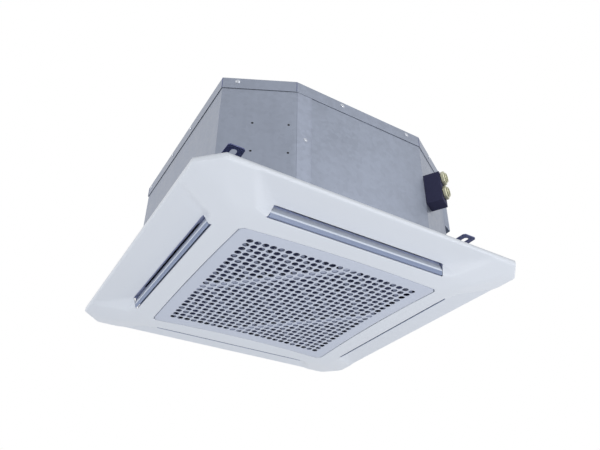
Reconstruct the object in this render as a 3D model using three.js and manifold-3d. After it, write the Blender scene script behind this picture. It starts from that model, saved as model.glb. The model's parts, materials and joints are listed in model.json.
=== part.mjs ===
// A compact four-way ceiling cassette: a galvanised casing above the ceiling, with a finned water coil bent
// round a centrifugal fan, and a moulded panel below it with a hinged intake grille and four louvres.
//
// Frame: millimetres, +Z up. The origin is at the centre of the panel, at the level of the grille's corners,
// which are the lowest points. -Y is the near side, +X the right side. The ceiling's face is at PANEL_DEPTH.

import * as THREE from 'three';
import { mergeGeometries, mergeVertices } from 'three/addons/utils/BufferGeometryUtils.js';
import Module from 'manifold-3d';

// ---------------------------------------------------------------- driving dimensions

const SEAT = 0.3; // gap between pieces that rest on or touch each other

// ceiling panel
const PANEL_SIDE = 720;
const PANEL_CORNER = 41; // the corner cut, along each side
const PANEL_DEPTH = 34; // from the lowest point up to the ceiling's face
const PANEL_WALL = 2.8;
const RIM_HEIGHT = 9; // the upright edge of the panel
const RIM_BEVEL = 2;
const NECK_HEIGHT = 13.4; // what stands above the ceiling's face, inside the ceiling opening
const DISH = 6; // how far the middle of the grille lies above its corners

// outlets in the panel
const SLOT_LENGTH = 394;
const CHAMBER_TOP = 36; // height of the roof over the louvre
const WING_RIB_PITCH = 200;
const LIP_REACH = 271; // centre to the inner lip of an outlet
const LIP_HEIGHT = 4;
const SLOT_WIDTH = 14; // inner lip to outer lip, seen from below
const SCOOP_HEIGHT = 25; // height of the flat scoop outside the louvre
const SCOOP_FLARE = 0.94; // how fast the scoop widens towards the rim
const SCOOP_SLOPE = 1.6; // how far a scoop's side wall leans out for each millimetre down

// intake grille and filter
const GRILLE_SIDE = 450.4;
const GRILLE_GAP = 1.5;
const GRILLE_THICKNESS = 2.6;
const GRILLE_CORNER = 7;
const GRILLE_RIM = 2.8;
const GRILLE_BOW = 0.6; // how far its sides bow out in the middle
const DISH_STEPS = 3; // stations along half a side that follow the dish
const HOLE_COUNT = 12; // holes along each side of the square field
const HOLE_PITCH = 35.1;
const HOLE_RADIUS = 13.6;
const HOLE_SIDES = 4;
const RIB_THICKNESS = 2;
const RIB_WAIST = 0.3;
const RIB_COLUMNS = [-5, -3, -1, 1, 3, 5]; // in hole pitches from the middle
const RIB_TOP = 12;
const HINGE_INSET = 14.2; // from the grille's far edge to its hinge axis
const HINGE_HEIGHT = 5.8;
const HINGE_PIN_RADIUS = 2;
const FILTER_THICKNESS = 4;
const FILTER_PLAY = 2.5;
const FILTER_BORDER = 9;
const FILTER_MESH = 1;
const FILTER_BAR = 2.4;
const STRAP_OFFSET = 157; // where the two diagonal straps cross the axes
const STRAP_WIDTH = 11;
const STRAP_THICKNESS = 1.4;
const CATCH_OFFSET = 120;
const CATCH_WIDTH = 24;
const CATCH_DEPTH = 12;
const CATCH_HEIGHT = 16;
const CATCH_BASE = 22;
const STRIKE_WIDTH = 12;
const STRIKE_THICKNESS = 1.6;
const STRIKE_FOOT = 8; // height of its lower end, clear of the dished plate
const STRIKE_REACH = 7; // how deep the strike goes into the catch
const STRIKE_PLAY = 0.5;

// louvres
const VANE_AXIS_REACH = 273; // centre to the louvre's axis
const VANE_AXIS_HEIGHT = 11.5;
const VANE_TOP = 20; // from the axis up to the louvre's upper edge
const VANE_BOTTOM = 6; // from the axis down to its lower edge
const VANE_BELLY = 5.2; // how far the keel stands out from the axis
const VANE_THICKNESS = 1.8;
const VANE_END_PLAY = 1.2;
const VANE_PIN_RADIUS = 1.8;
const VANE_PIN_REACH = 7.5;
const VANE_MOTOR_RADIUS = 9.5;
const VANE_MOTOR_LENGTH = 16;
const VANE_MOTOR_RISE = 8; // the motor's middle above the louvre's axis
const VANE_MOTOR_SHIFT = 4.5; // and towards the middle of the panel
const VANE_MOTOR_BOSS = 3.9;

// casing
const CASING_SIDE = 575;
const CASING_HEIGHT = 298;
const LEFT_CHAMFER = 135; // the corner cuts along X, left and right, and along Y
const RIGHT_CHAMFER = 119;
const END_CHAMFER = 68.4;
const SHEET = 1.2;
const LID_RIM = 28;
const LID_BEAD = 2; // height of the beads pressed into the lid
const LID_RING = 100; // radius of the round bead over the motor
const BEAD_WIDTH = 14;
const BEAD_MARGIN = 12; // from the round bead to the straight ones
const BOTTOM_FLANGE = 9;
const GASKET_THICKNESS = 4;
const LINER_THICKNESS = 10;
const DUCT_WIDTH = 32;
const DUCT_LENGTH = 296;

// small holes in the near left chamfer, on a square
const PILOT_RADIUS = 2.6;
const PILOT_STATIONS = [66, 136.5]; // along the chamfer
const PILOT_LEVELS = [107, 177.5]; // above the underside of the casing

// drain pan
const PAN_HEIGHT = 52;
const TROUGH_DEPTH = 18;
const TROUGH_PLAY = 4;
const PAN_OPENING = 190; // radius of the opening round the bell mouth

// coil
const COIL_CLEARANCE = 10.5; // from the air ways in to the coil's outer face
const COIL_DEPTH = 30;
const COIL_CORNER = 62; // outer corner radius
const COIL_TOP_PLAY = 3;
const COIL_END = 142; // where the coil stops short of the pipe corner
const TUBE_ROWS = 6;
const TUBE_RADIUS = 3.6;
const END_PLATE = 1.5;
const HEADER_RADIUS = 11;
const HEADER_MARGIN = 16;
const FEEDER_RADIUS = 4;
const HEADER_STAND_OFF = 24; // from a coil end to its header's middle

// pipes
const PIPE_RADIUS = 9;
const PIPE_PLAY = 1.5; // round a pipe in sheet and liner
const PIPE_CUT = 60; // length of the cylinder that opens a way for a pipe
const PIPE_STEP = 38; // between the two pipes
const PIPE_LOW = 191; // height of the lower pipe
const PIPE_INSET = 20; // along the chamfer from its near end
const BLOCK_WIDTH = 34;
const BLOCK_DEPTH = 34;
const BLOCK_BELOW = 26;
const BLOCK_ABOVE = 10;
const NUT_ACROSS = 27;
const NUT_LENGTH = 8;
const NUT_THREAD_RADIUS = 11;
const NUT_THREAD_LENGTH = 3.5;
const NUT_BORE = 8; // radius
const NUT_FLOOR = 3; // depth of metal left below the bore

// fan
const FAN_RADIUS = 152;
const FAN_EYE = 98;
const FAN_HEIGHT = 126;
const FAN_SKIN = 2.4;
const FAN_STEPS = 3; // straight pieces in the shroud's curve
const FAN_SHROUD_RISE = 20;
const FAN_CLEARANCE = 18; // above the fan, to the motor
const BLADE_COUNT = 7;
const BLADE_THICKNESS = 3;
const BLADE_PLAY = 0.4; // between a blade's edges and the discs that it is welded to
const BLADE_INNER = 92;
const BLADE_SWEEP = 0.72; // angle that a blade leans back over, in radians
const HUB_RADIUS = 19;
const HUB_HEIGHT = 34; // from its lower end to half way up the cone
const CONE_RADIUS = 78;
const CONE_HEIGHT = 30;
const SHAFT_RADIUS = 6;
const HUB_NUT_RADIUS = 11;
const HUB_NUT_HEIGHT = 7;
const BORE_PLAY = 0.3;
const MOTOR_RADIUS = 62;
const MOTOR_HEIGHT = 74;
const MOTOR_NOSE = 22; // radius of its lower end
const MOTOR_SEAM_LOW = 38; // the groove between its two halves, from its lower end
const MOTOR_SEAM_HIGH = 44;
const MOTOR_SEAM_DEPTH = 4;
const MOTOR_PLATE_RADIUS = 80;
const BELL_FLARE = 138;
const BELL_LIP = 5; // how far the bell mouth reaches into the fan's eye
const BELL_CLEARANCE = 3; // between the bell mouth and the fan
const BELL_SKIN = 2;
const BELL_SIDES = 20;
const BELL_STEPS = 3; // straight pieces in its curve
const FAN_SIDES = 24;

// hangers
const HANGER_X = 275; // middle of the slot
const HANGER_Y = 277;
const HANGER_WIDTH = 34;
const HANGER_END = 296; // centre to the end of the bracket
const HANGER_HEIGHT = 60; // above the underside of the casing
const HANGER_SHEET = 2.5;
const HANGER_FOOT = 36; // length of the flange along the chamfer
const HANGER_DROP = 46;
const HANGER_HOLE = 12;
const HANGER_SLOT = 8; // straight length of the slot

// drain
const PUMP_RADIUS = 15;
const PUMP_HEIGHT = 62;
const PUMP_INSET_X = 24; // from the coil's outer faces in to the pump's middle
const PUMP_INSET_Y = 10;
const PUMP_FOOT_RADIUS = 10;
const PUMP_FOOT_HEIGHT = 25;
const FLOAT_RADIUS = 8;
const FLOAT_HEIGHT = 12;
const FLOAT_OFFSET = 19.5; // from the pump's middle to the float's
const FLOAT_GUIDE_RADIUS = 2;
const RISER_RADIUS = 6;
const RISER_OFFSET = 8; // from the pump's middle to the riser
const SPOUT_HEIGHT = 288;
const SPOUT_RADIUS = 12.5;
const SPOUT_WALL = 2.5;
const SPOUT_LENGTH = 28;
const SPOUT_FLANGE = 7; // how far its flange stands out round it
const SPOUT_ASIDE = 40; // from the near end of the right face
const COVER_PROUD = 15;
const COVER_LENGTH = 92;
const COVER_BASE = 178;
const COVER_GAP = 6.5; // from its top to the flange of the drain outlet
const COVER_SLOPE = 14; // how much lower its outer edge starts than its inner one

// control box
const BOX_LENGTH = 250;
const BOX_WIDTH = 58;
const BOX_HEIGHT = 22;
const BOX_SHEET = 1.2;
const GLAND_RADIUS = 9;
const GLAND_Y = 120;
const GLAND_HEIGHT = 60; // above the underside of the casing

// panel screws
const SCREW_REACH = 213;
const SCREW_RADIUS = 2.5;
const SCREW_HEAD = 4.6;
const SCREW_HEAD_HEIGHT = 3;
const TAB_SIZE = 28;

// ---------------------------------------------------------------- worked-out places

const BELL_THROAT = FAN_EYE - BELL_SKIN - BELL_CLEARANCE;
const RIM_BASE = PANEL_DEPTH - RIM_HEIGHT;
const PANEL_TOP = PANEL_DEPTH + NECK_HEIGHT;
const CASING_BASE = PANEL_TOP + SEAT + GASKET_THICKNESS + SEAT;
const CASING_TOP = CASING_BASE + CASING_HEIGHT;
const LID_TOP = CASING_TOP - LID_BEAD;
const LID_UNDERSIDE = LID_TOP - SHEET;
const SHELL_INSET = SHEET + SEAT;
const LINER_INSET = SHELL_INSET + SHEET + SEAT;
const CASING_WALL = LINER_INSET + LINER_THICKNESS;
const DUCT_OUTER = CASING_SIDE / 2 - CASING_WALL;
const DUCT_INNER = DUCT_OUTER - DUCT_WIDTH;
const COIL_REACH = DUCT_INNER - COIL_CLEARANCE;
const PUMP_X = COIL_REACH - PUMP_INSET_X;
const PUMP_Y = PUMP_INSET_Y - COIL_REACH;
const SPOUT_Y = SPOUT_ASIDE + END_CHAMFER - CASING_SIDE / 2;
const COVER_TOP = SPOUT_HEIGHT - SPOUT_RADIUS - SPOUT_FLANGE - COVER_GAP;
const LIP_OUTER = LIP_REACH + SLOT_WIDTH;
const WELL_REACH = GRILLE_SIDE / 2 + GRILLE_GAP;
const PAN_BASE = CASING_BASE + SHEET + SEAT;
const PAN_TOP = PAN_BASE + PAN_HEIGHT;
const TROUGH_FLOOR = PAN_TOP - TROUGH_DEPTH;
const BELL_PLATE = DUCT_INNER - 10;
const LINER_TOP = LID_UNDERSIDE - SEAT;
const LINER_CEILING = LINER_TOP - LINER_THICKNESS;
const COIL_BASE = TROUGH_FLOOR + SEAT;
const COIL_TOP = LINER_CEILING - COIL_TOP_PLAY;
const TUBE_PITCH = (COIL_TOP - COIL_BASE) / TUBE_ROWS;
const MOTOR_PLATE_TOP = LID_UNDERSIDE - SEAT;
const MOTOR_TOP = MOTOR_PLATE_TOP - SHEET - SEAT;
const MOTOR_BASE = MOTOR_TOP - MOTOR_HEIGHT;
const FAN_TOP = MOTOR_BASE - FAN_CLEARANCE;
const FAN_BASE = FAN_TOP - FAN_HEIGHT;
const HANGER_LEVEL = CASING_BASE + HANGER_HEIGHT;
const HINGE_Y = GRILLE_SIDE / 2 - HINGE_INSET;
const FILTER_HALF = GRILLE_SIDE / 2 - GRILLE_RIM - FILTER_PLAY;
const FILTER_BASE = RIB_TOP + SEAT;
const STRIKE_BACK = GRILLE_RIM + GRILLE_BOW / 3 + SEAT - GRILLE_SIDE / 2;
const CONE_TOP = FAN_TOP - CONE_HEIGHT;
const HUB_BASE = CONE_TOP - HUB_HEIGHT + CONE_HEIGHT / 2;
const PUMP_TOP = TROUGH_FLOOR + SEAT + PUMP_HEIGHT;

// ---------------------------------------------------------------- solids

const wasm = await Module();
wasm.setup();

// Signed volume of a triangle list, to tell an inside-out mesh from a good one.
function signedVolume(position, index) {
  const a = new THREE.Vector3();
  const b = new THREE.Vector3();
  const c = new THREE.Vector3();
  let sum = 0;
  for (let i = 0; i < index.length; i += 3) {
    a.fromArray(position, index[i] * 3);
    b.fromArray(position, index[i + 1] * 3);
    c.fromArray(position, index[i + 2] * 3);
    sum += a.dot(b.cross(c)) / 6;
  }
  return sum;
}

// A closed geometry as a solid: shared vertices merged, collapsed triangles left out, faces pointing out.
function solid(geometry) {
  const bare = geometry.clone();
  for (const name of ['normal', 'uv']) {
    if (bare.hasAttribute(name)) bare.deleteAttribute(name);
  }
  const merged = mergeVertices(bare, 1e-3);
  const position = new Float32Array(merged.attributes.position.array);
  const source = merged.index.array;
  const kept = [];
  for (let i = 0; i < source.length; i += 3) {
    const [a, b, c] = [source[i], source[i + 1], source[i + 2]];
    if (a !== b && b !== c && c !== a) kept.push(a, b, c);
  }
  if (signedVolume(position, kept) < 0) kept.reverse();
  const triVerts = new Uint32Array(kept);
  return new wasm.Manifold(new wasm.Mesh({ numProp: 3, vertProperties: position, triVerts }));
}

function joined(first, ...others) {
  return others.reduce((sum, next) => sum.add(next), first);
}

function cut(first, ...others) {
  return others.reduce((rest, next) => rest.subtract(next), first);
}

// ---------------------------------------------------------------- geometry helpers

function polygon(points) {
  return new THREE.Shape(points.map(([x, y]) => new THREE.Vector2(x, y)));
}

// A flat outline raised from one height to another.
function raised(shape, low, high, curveSegments = 8) {
  const depth = high - low;
  const geometry = new THREE.ExtrudeGeometry(shape, { depth, bevelEnabled: false, curveSegments });
  return geometry.translate(0, 0, low);
}

function block(x0, x1, y0, y1, z0, z1) {
  const box = new THREE.BoxGeometry(x1 - x0, y1 - y0, z1 - z0);
  return box.translate((x0 + x1) / 2, (y0 + y1) / 2, (z0 + z1) / 2);
}

function upright(radius, low, high, sides = 20, topRadius = radius) {
  const cylinder = new THREE.CylinderGeometry(topRadius, radius, high - low, sides);
  return cylinder.rotateX(Math.PI / 2).translate(0, 0, (low + high) / 2);
}

function alongY(radius, low, high, sides = 12) {
  return new THREE.CylinderGeometry(radius, radius, high - low, sides).translate(0, (low + high) / 2, 0);
}

// A profile of radius and height turned about the Z axis.
function turned(profile, segments) {
  const points = profile.map(([radius, height]) => new THREE.Vector2(radius, height));
  return new THREE.LatheGeometry(points, segments).rotateX(Math.PI / 2);
}

// A tube along smooth points.
function tube(points, radius, steps, sides = 10) {
  const path = new THREE.CatmullRomCurve3(points.map((p) => new THREE.Vector3(...p)));
  const circle = new THREE.Shape().absarc(0, 0, radius, 0, Math.PI * 2);
  return new THREE.ExtrudeGeometry(circle, { steps, extrudePath: path, curveSegments: sides });
}

// An outline with every edge moved inwards by the same distance.
function inset(points, distance) {
  const lines = points.map((start, i) => {
    const end = points[(i + 1) % points.length];
    const along = new THREE.Vector2(end[0] - start[0], end[1] - start[1]).normalize();
    const inward = new THREE.Vector2(-along.y, along.x);
    return { x: start[0] + inward.x * distance, y: start[1] + inward.y * distance, along };
  });
  return lines.map((line, i) => {
    const before = lines[(i + lines.length - 1) % lines.length];
    const cross = before.along.x * line.along.y - before.along.y * line.along.x;
    const step = ((line.x - before.x) * line.along.y - (line.y - before.y) * line.along.x) / cross;
    return [before.x + before.along.x * step, before.y + before.along.y * step];
  });
}

// A side of the square seen as a section: points are reach from the centre and height, the length runs along
// the side. It is made on the right side and turned to side 0 right, 1 far, 2 left, 3 near.
function sideSection(points, halfLength, side) {
  const section = new THREE.ExtrudeGeometry(polygon(points), { depth: 2 * halfLength, bevelEnabled: false });
  return section.rotateX(Math.PI / 2).translate(0, halfLength, 0).rotateZ((side * Math.PI) / 2);
}

function onSide(geometry, side) {
  return geometry.rotateZ((side * Math.PI) / 2);
}

// ---------------------------------------------------------------- outlines

const half = CASING_SIDE / 2;

const CASING_OUTLINE = [
  [-half + LEFT_CHAMFER, -half],
  [half - RIGHT_CHAMFER, -half],
  [half, -half + END_CHAMFER],
  [half, half - END_CHAMFER],
  [half - RIGHT_CHAMFER, half],
  [-half + LEFT_CHAMFER, half],
  [-half, half - END_CHAMFER],
  [-half, -half + END_CHAMFER],
];

function cutSquare(reach, corner) {
  const flat = reach - corner;
  return [
    [-flat, -reach],
    [flat, -reach],
    [reach, -flat],
    [reach, flat],
    [flat, reach],
    [-flat, reach],
    [-reach, flat],
    [-reach, -flat],
  ];
}

function roundedSquare(reach, radius) {
  const flat = reach - radius;
  const shape = new THREE.Shape();
  shape.absarc(flat, -flat, radius, -Math.PI / 2, 0);
  shape.absarc(flat, flat, radius, 0, Math.PI / 2);
  shape.absarc(-flat, flat, radius, Math.PI / 2, Math.PI);
  shape.absarc(-flat, -flat, radius, Math.PI, Math.PI * 1.5);
  shape.closePath();
  return shape;
}

// The chamfer that the pipes leave through: its near end, the direction along it and outwards.
const pipeCorner = {
  start: new THREE.Vector2(half - RIGHT_CHAMFER, -half),
  along: new THREE.Vector2(RIGHT_CHAMFER, END_CHAMFER).normalize(),
};
pipeCorner.out = new THREE.Vector2(pipeCorner.along.y, -pipeCorner.along.x);

function onPipeCorner(along, out) {
  const { start, along: a, out: o } = pipeCorner;
  return [start.x + a.x * along + o.x * out, start.y + a.y * along + o.y * out];
}

// ---------------------------------------------------------------- panel frame

// How far the grille and the frame round it rise above the grille's corners.
function dishHeight(x, y) {
  const u = Math.min(1, Math.abs(x) / (GRILLE_SIDE / 2));
  const v = Math.min(1, Math.abs(y) / (GRILLE_SIDE / 2));
  return DISH * (1 - u * u * v * v);
}

// A profile of reach and height carried round a square. Each ring of a fine lathe is squared off, and the
// ring at the well follows the dished grille.
function squareTurn(profile, sides, dishedReach) {
  const geometry = turned(profile, sides);
  const position = geometry.attributes.position;
  for (let i = 0; i < position.count; i += 1) {
    const x = position.getX(i);
    const y = position.getY(i);
    const radius = Math.hypot(x, y);
    const side = Math.max(Math.abs(x), Math.abs(y));
    const stretch = side > 0 ? radius / side : 1;
    position.setX(i, x * stretch);
    position.setY(i, y * stretch);
    if (Math.abs(radius - dishedReach) < 0.5) {
      position.setZ(i, position.getZ(i) + dishHeight(x * stretch, y * stretch));
    }
  }
  return geometry;
}

// The outer form of the panel: dished middle, plateau, slopes to the rim, upright rim. With a wall it gives
// the form of the hollow inside, moved up and in by the wall.
function panelForm(wall, top) {
  const rim = PANEL_SIDE / 2 - wall;
  const profile = [
    [0, wall + DISH],
    [WELL_REACH, wall],
    [LIP_REACH, LIP_HEIGHT + wall],
    [rim - RIM_BEVEL, RIM_BASE - RIM_BEVEL + wall],
    [rim, RIM_BASE + wall],
    [rim, top],
    [0, top],
  ];
  const corner = PANEL_CORNER - wall * (2 - Math.SQRT2);
  const square = solid(squareTurn(profile, 24, WELL_REACH));
  return square.intersect(solid(raised(polygon(cutSquare(rim, corner)), -1, top + 1)));
}

// What a scoop takes away outside an outlet: a flared box with a flat top and leaning side walls.
function scoop(wall, side) {
  const near = LIP_OUTER - wall;
  const far = PANEL_SIDE / 2 + 30;
  const top = SCOOP_HEIGHT + wall;
  const drop = top + 20;
  const widths = [near, far].map((reach) => SLOT_LENGTH / 2 + wall + (reach - near) * SCOOP_FLARE);
  const box = new THREE.BoxGeometry(1, 1, 1);
  const position = box.attributes.position;
  for (let i = 0; i < position.count; i += 1) {
    const outer = position.getX(i) > 0;
    const upper = position.getZ(i) > 0;
    const width = widths[outer ? 1 : 0] + (upper ? 0 : drop * SCOOP_SLOPE);
    position.setXYZ(i, outer ? far : near, Math.sign(position.getY(i)) * width, upper ? top : top - drop);
  }
  return solid(onSide(box, side));
}

// The chamber behind an outlet: its inner wall slopes from the lip to the collar, the outer one is upright.
function chamberSection(wall) {
  const low = wall ? LIP_HEIGHT + wall / 2 : LIP_HEIGHT - 20;
  return [
    [LIP_REACH - wall, low],
    [LIP_OUTER + wall, low],
    [LIP_OUTER + wall, CHAMBER_TOP - 4 + wall],
    [DUCT_OUTER + wall, CHAMBER_TOP + wall],
    [DUCT_INNER - wall, CHAMBER_TOP + wall],
    [DUCT_INNER - wall, CHAMBER_TOP - 2],
    [LIP_REACH - wall, LIP_HEIGHT + wall / 2],
  ].slice(0, wall ? 6 : 7);
}

// The collar above the chamber, which meets the casing's own air way.
function collar(wall, side) {
  const length = DUCT_LENGTH / 2 + wall;
  const high = PANEL_TOP + (wall ? 0 : 1);
  const pipe = block(DUCT_INNER - wall, DUCT_OUTER + wall, -length, length, CHAMBER_TOP - 1, high);
  return solid(onSide(pipe, side));
}

function airWay(wall, side) {
  const chamber = solid(sideSection(chamberSection(wall), SLOT_LENGTH / 2 + wall, side));
  return chamber.add(collar(wall, side));
}

function panelFrame() {
  let form = panelForm(0, PANEL_DEPTH);
  let inside = panelForm(PANEL_WALL, PANEL_TOP + 40);
  for (let side = 0; side < 4; side += 1) {
    form = form.subtract(scoop(0, side));
    inside = inside.subtract(scoop(PANEL_WALL, side));
  }
  const well = solid(raised(polygon(cutSquare(WELL_REACH + PANEL_WALL, 1)), 4, PANEL_TOP));
  const land = solid(raised(polygon(cutSquare(DUCT_INNER, 16)), PANEL_TOP - PANEL_WALL, PANEL_TOP));
  let frame = joined(form.subtract(inside), well, land);
  for (let side = 0; side < 4; side += 1) {
    frame = joined(frame, airWay(PANEL_WALL, side), wingRibs(side));
  }
  for (let side = 0; side < 4; side += 1) {
    frame = cut(frame, airWay(0, side), vaneBearings(side));
  }
  frame = frame.subtract(solid(raised(polygon(cutSquare(WELL_REACH, 0.5)), -5, PANEL_TOP + 5)));
  frame = joined(frame, ...cornerTabs());
  return cut(frame, ...grilleSockets());
}

// Short upright ribs that stiffen the wing outside a duct.
function wingRibs(side) {
  const from = Math.max(LIP_OUTER, DUCT_OUTER) + PANEL_WALL - 1;
  const to = PANEL_SIDE / 2 - PANEL_WALL / 2;
  const ribs = [-0.5, 0.5].map((k) => {
    const y = k * WING_RIB_PITCH;
    return solid(onSide(block(from, to, y - 1, y + 1, SCOOP_HEIGHT + 1, PANEL_DEPTH - 1), side));
  });
  return joined(...ribs);
}

function vaneBearings(side) {
  const reach = SLOT_LENGTH / 2 + PANEL_WALL + 1;
  const hole = alongY(VANE_PIN_RADIUS + BORE_PLAY, -reach, reach, 8);
  return solid(onSide(hole.translate(VANE_AXIS_REACH, 0, VANE_AXIS_HEIGHT), side));
}

// Tabs across the corners of the well, which the panel screws pass through.
function cornerTabs() {
  const edge = WELL_REACH + PANEL_WALL / 2;
  return [0, 1, 2, 3].map((side) => {
    const plate = block(edge - TAB_SIZE, edge, edge - TAB_SIZE, edge, PANEL_TOP - PANEL_WALL, PANEL_TOP);
    const hole = upright(SCREW_RADIUS + BORE_PLAY, PANEL_TOP - 10, PANEL_TOP + 10, 12);
    hole.translate(SCREW_REACH, SCREW_REACH, 0);
    return solid(onSide(plate, side)).subtract(solid(onSide(hole, side)));
  });
}

// Holes in the left and right walls of the well for the grille's pins.
function grilleSockets() {
  return [-1, 1].map((sign) => {
    const radius = HINGE_PIN_RADIUS + BORE_PLAY;
    const hole = new THREE.CylinderGeometry(radius, radius, 8, 12);
    hole.rotateZ(Math.PI / 2).translate(sign * (WELL_REACH + 1), HINGE_Y, HINGE_HEIGHT);
    return solid(hole);
  });
}

// ---------------------------------------------------------------- grille and filter

// Moves the vertices up to a height by the dish; those above it, the level tops of rim and ribs, stay.
function dished(geometry, upTo) {
  const position = geometry.attributes.position;
  for (let i = 0; i < position.count; i += 1) {
    if (position.getZ(i) < upTo) {
      position.setZ(i, position.getZ(i) + dishHeight(position.getX(i), position.getY(i)));
    }
  }
  return geometry;
}

// A rounded square whose sides bow out a little, in steps that follow the dish.
function bowedOutline(reach, radius) {
  const points = [];
  const flat = reach - radius;
  for (let side = 0; side < 4; side += 1) {
    const turn = (side * Math.PI) / 2;
    for (let i = -DISH_STEPS; i <= DISH_STEPS; i += 1) {
      const share = i / DISH_STEPS;
      const bowed = new THREE.Vector2(reach - GRILLE_BOW * share * share, flat * share);
      points.push(bowed.rotateAround(new THREE.Vector2(), turn));
    }
    const middle = new THREE.Vector2(flat + radius * Math.SQRT1_2, flat + radius * Math.SQRT1_2);
    points.push(middle.rotateAround(new THREE.Vector2(), turn));
  }
  return points;
}

function grilleHoles() {
  const first = (-(HOLE_COUNT - 1) / 2) * HOLE_PITCH;
  const holes = [];
  for (let row = 0; row < HOLE_COUNT; row += 1) {
    for (let column = 0; column < HOLE_COUNT; column += 1) {
      const hole = upright(HOLE_RADIUS, -1, GRILLE_THICKNESS + 1, HOLE_SIDES).rotateZ(Math.PI / HOLE_SIDES);
      holes.push(hole.translate(first + column * HOLE_PITCH, first + row * HOLE_PITCH, 0));
    }
  }
  return solid(mergeGeometries(holes));
}

function grilleRim() {
  const shape = new THREE.Shape(bowedOutline(GRILLE_SIDE / 2, GRILLE_CORNER));
  const inner = bowedOutline(GRILLE_SIDE / 2 - GRILLE_RIM, GRILLE_CORNER - GRILLE_RIM / 2);
  shape.holes.push(new THREE.Path(inner));
  return solid(raised(shape, 0, RIB_TOP));
}

// Ribs across the back of the grille, between columns of holes. Each is a little thinner at every other
// station, so that it keeps a vertex there to follow the dish.
function grilleRibs() {
  const reach = GRILLE_SIDE / 2 - GRILLE_RIM / 2;
  return RIB_COLUMNS.map((k) => {
    const left = [];
    const right = [];
    for (let i = -DISH_STEPS; i <= DISH_STEPS; i += 1) {
      const thin = (RIB_THICKNESS - (i % 2 ? RIB_WAIST : 0)) / 2;
      const y = (reach * i) / DISH_STEPS;
      right.push([k * HOLE_PITCH + thin, y]);
      left.unshift([k * HOLE_PITCH - thin, y]);
    }
    return solid(raised(polygon([...right, ...left]), 0, RIB_TOP));
  });
}

function grillePins() {
  return [-1, 1].map((sign) => {
    const outer = WELL_REACH + PANEL_WALL - 0.4;
    const inner = GRILLE_SIDE / 2 - GRILLE_RIM / 2;
    const pin = new THREE.CylinderGeometry(HINGE_PIN_RADIUS, HINGE_PIN_RADIUS, outer - inner, 12);
    return solid(pin.rotateZ(Math.PI / 2).translate((sign * (outer + inner)) / 2, HINGE_Y, HINGE_HEIGHT));
  });
}

// The grille is put together flat and then dished.
function intakeGrille() {
  const outline = new THREE.Shape(bowedOutline(GRILLE_SIDE / 2, GRILLE_CORNER));
  const plate = solid(raised(outline, 0, GRILLE_THICKNESS));
  const flat = joined(plate, grilleRim(), ...grilleRibs()).subtract(grilleHoles());
  const body = solid(dished(geometryOf(flat), RIB_TOP - 1));
  return joined(body, ...grillePins());
}

// A tongue on the inside of the grille's near rim, which snaps into a spring catch.
function grilleStrike(sign) {
  const left = sign * CATCH_OFFSET - STRIKE_WIDTH / 2;
  const front = STRIKE_BACK + STRIKE_THICKNESS;
  return block(left, left + STRIKE_WIDTH, STRIKE_BACK, front, STRIKE_FOOT, CATCH_BASE + STRIKE_REACH);
}

// The filter: a tray with its mesh on top, and below it two thin bars each way and two diagonal straps.
function airFilter() {
  const low = FILTER_BASE;
  const high = low + FILTER_THICKNESS;
  const roof = high - FILTER_MESH;
  const outer = roundedSquare(FILTER_HALF, 6);
  const inner = FILTER_HALF - FILTER_BORDER;
  const hollow = solid(block(-inner, inner, -inner, inner, 0, roof));
  const tray = solid(raised(outer, low, high, 2)).subtract(hollow);
  const bars = [-1, 1].flatMap((sign) => {
    const at = (sign * inner) / 3;
    const side = FILTER_BAR / 2;
    return [
      solid(block(at - side, at + side, -inner - 1, inner + 1, low + 1, roof + 0.2)),
      solid(block(-inner - 1, inner + 1, at - side, at + side, low + 1, roof + 0.2)),
    ];
  });
  const straps = [-1, 1].map((sign) => {
    const reach = ((inner * 2 - STRAP_OFFSET + STRAP_WIDTH) * Math.SQRT2) / 2;
    const strap = block(-reach, reach, -STRAP_WIDTH / 2, STRAP_WIDTH / 2, low, low + STRAP_THICKNESS);
    const at = (sign * STRAP_OFFSET) / 2;
    return solid(strap.rotateZ(-Math.PI / 4).translate(at, at, 0));
  });
  const limit = solid(block(-inner - 2, inner + 2, -inner - 2, inner + 2, low, high));
  return joined(tray, ...bars, joined(...straps).intersect(limit));
}

// A catch block on the near wall of the well with a slot that the strike enters.
function springCatch(sign) {
  const x = sign * CATCH_OFFSET;
  const back = -WELL_REACH + SEAT;
  const front = back + CATCH_DEPTH;
  const body = block(
    x - CATCH_WIDTH / 2, x + CATCH_WIDTH / 2, back, front, CATCH_BASE, CATCH_BASE + CATCH_HEIGHT);
  const mouth = block(
    x - STRIKE_WIDTH / 2 - STRIKE_PLAY, x + STRIKE_WIDTH / 2 + STRIKE_PLAY,
    STRIKE_BACK - STRIKE_PLAY, STRIKE_BACK + STRIKE_THICKNESS + STRIKE_PLAY,
    CATCH_BASE - 1, CATCH_BASE + STRIKE_REACH + STRIKE_PLAY);
  const nose = block(x - 4, x + 4, front - 1, front + 3, CATCH_BASE + 3, CATCH_BASE + 9);
  return joined(solid(body), solid(nose)).subtract(solid(mouth));
}

// ---------------------------------------------------------------- louvres

// Section of a louvre in reach and height from its axis: a keel stands out near the lower third.
function vaneSection() {
  const t = VANE_THICKNESS;
  const outer = new THREE.SplineCurve([
    new THREE.Vector2(1.2, -VANE_BOTTOM),
    new THREE.Vector2(VANE_BELLY - 1.6, -VANE_BOTTOM * 0.35),
    new THREE.Vector2(VANE_BELLY, VANE_TOP * 0.15),
    new THREE.Vector2(VANE_BELLY - 1.9, VANE_TOP * 0.55),
    new THREE.Vector2(0.9, VANE_TOP),
  ]).getPoints(4);
  const inner = [...outer].reverse().map((p) => new THREE.Vector2(p.x - t, p.y));
  return [...outer, ...inner];
}

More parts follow.
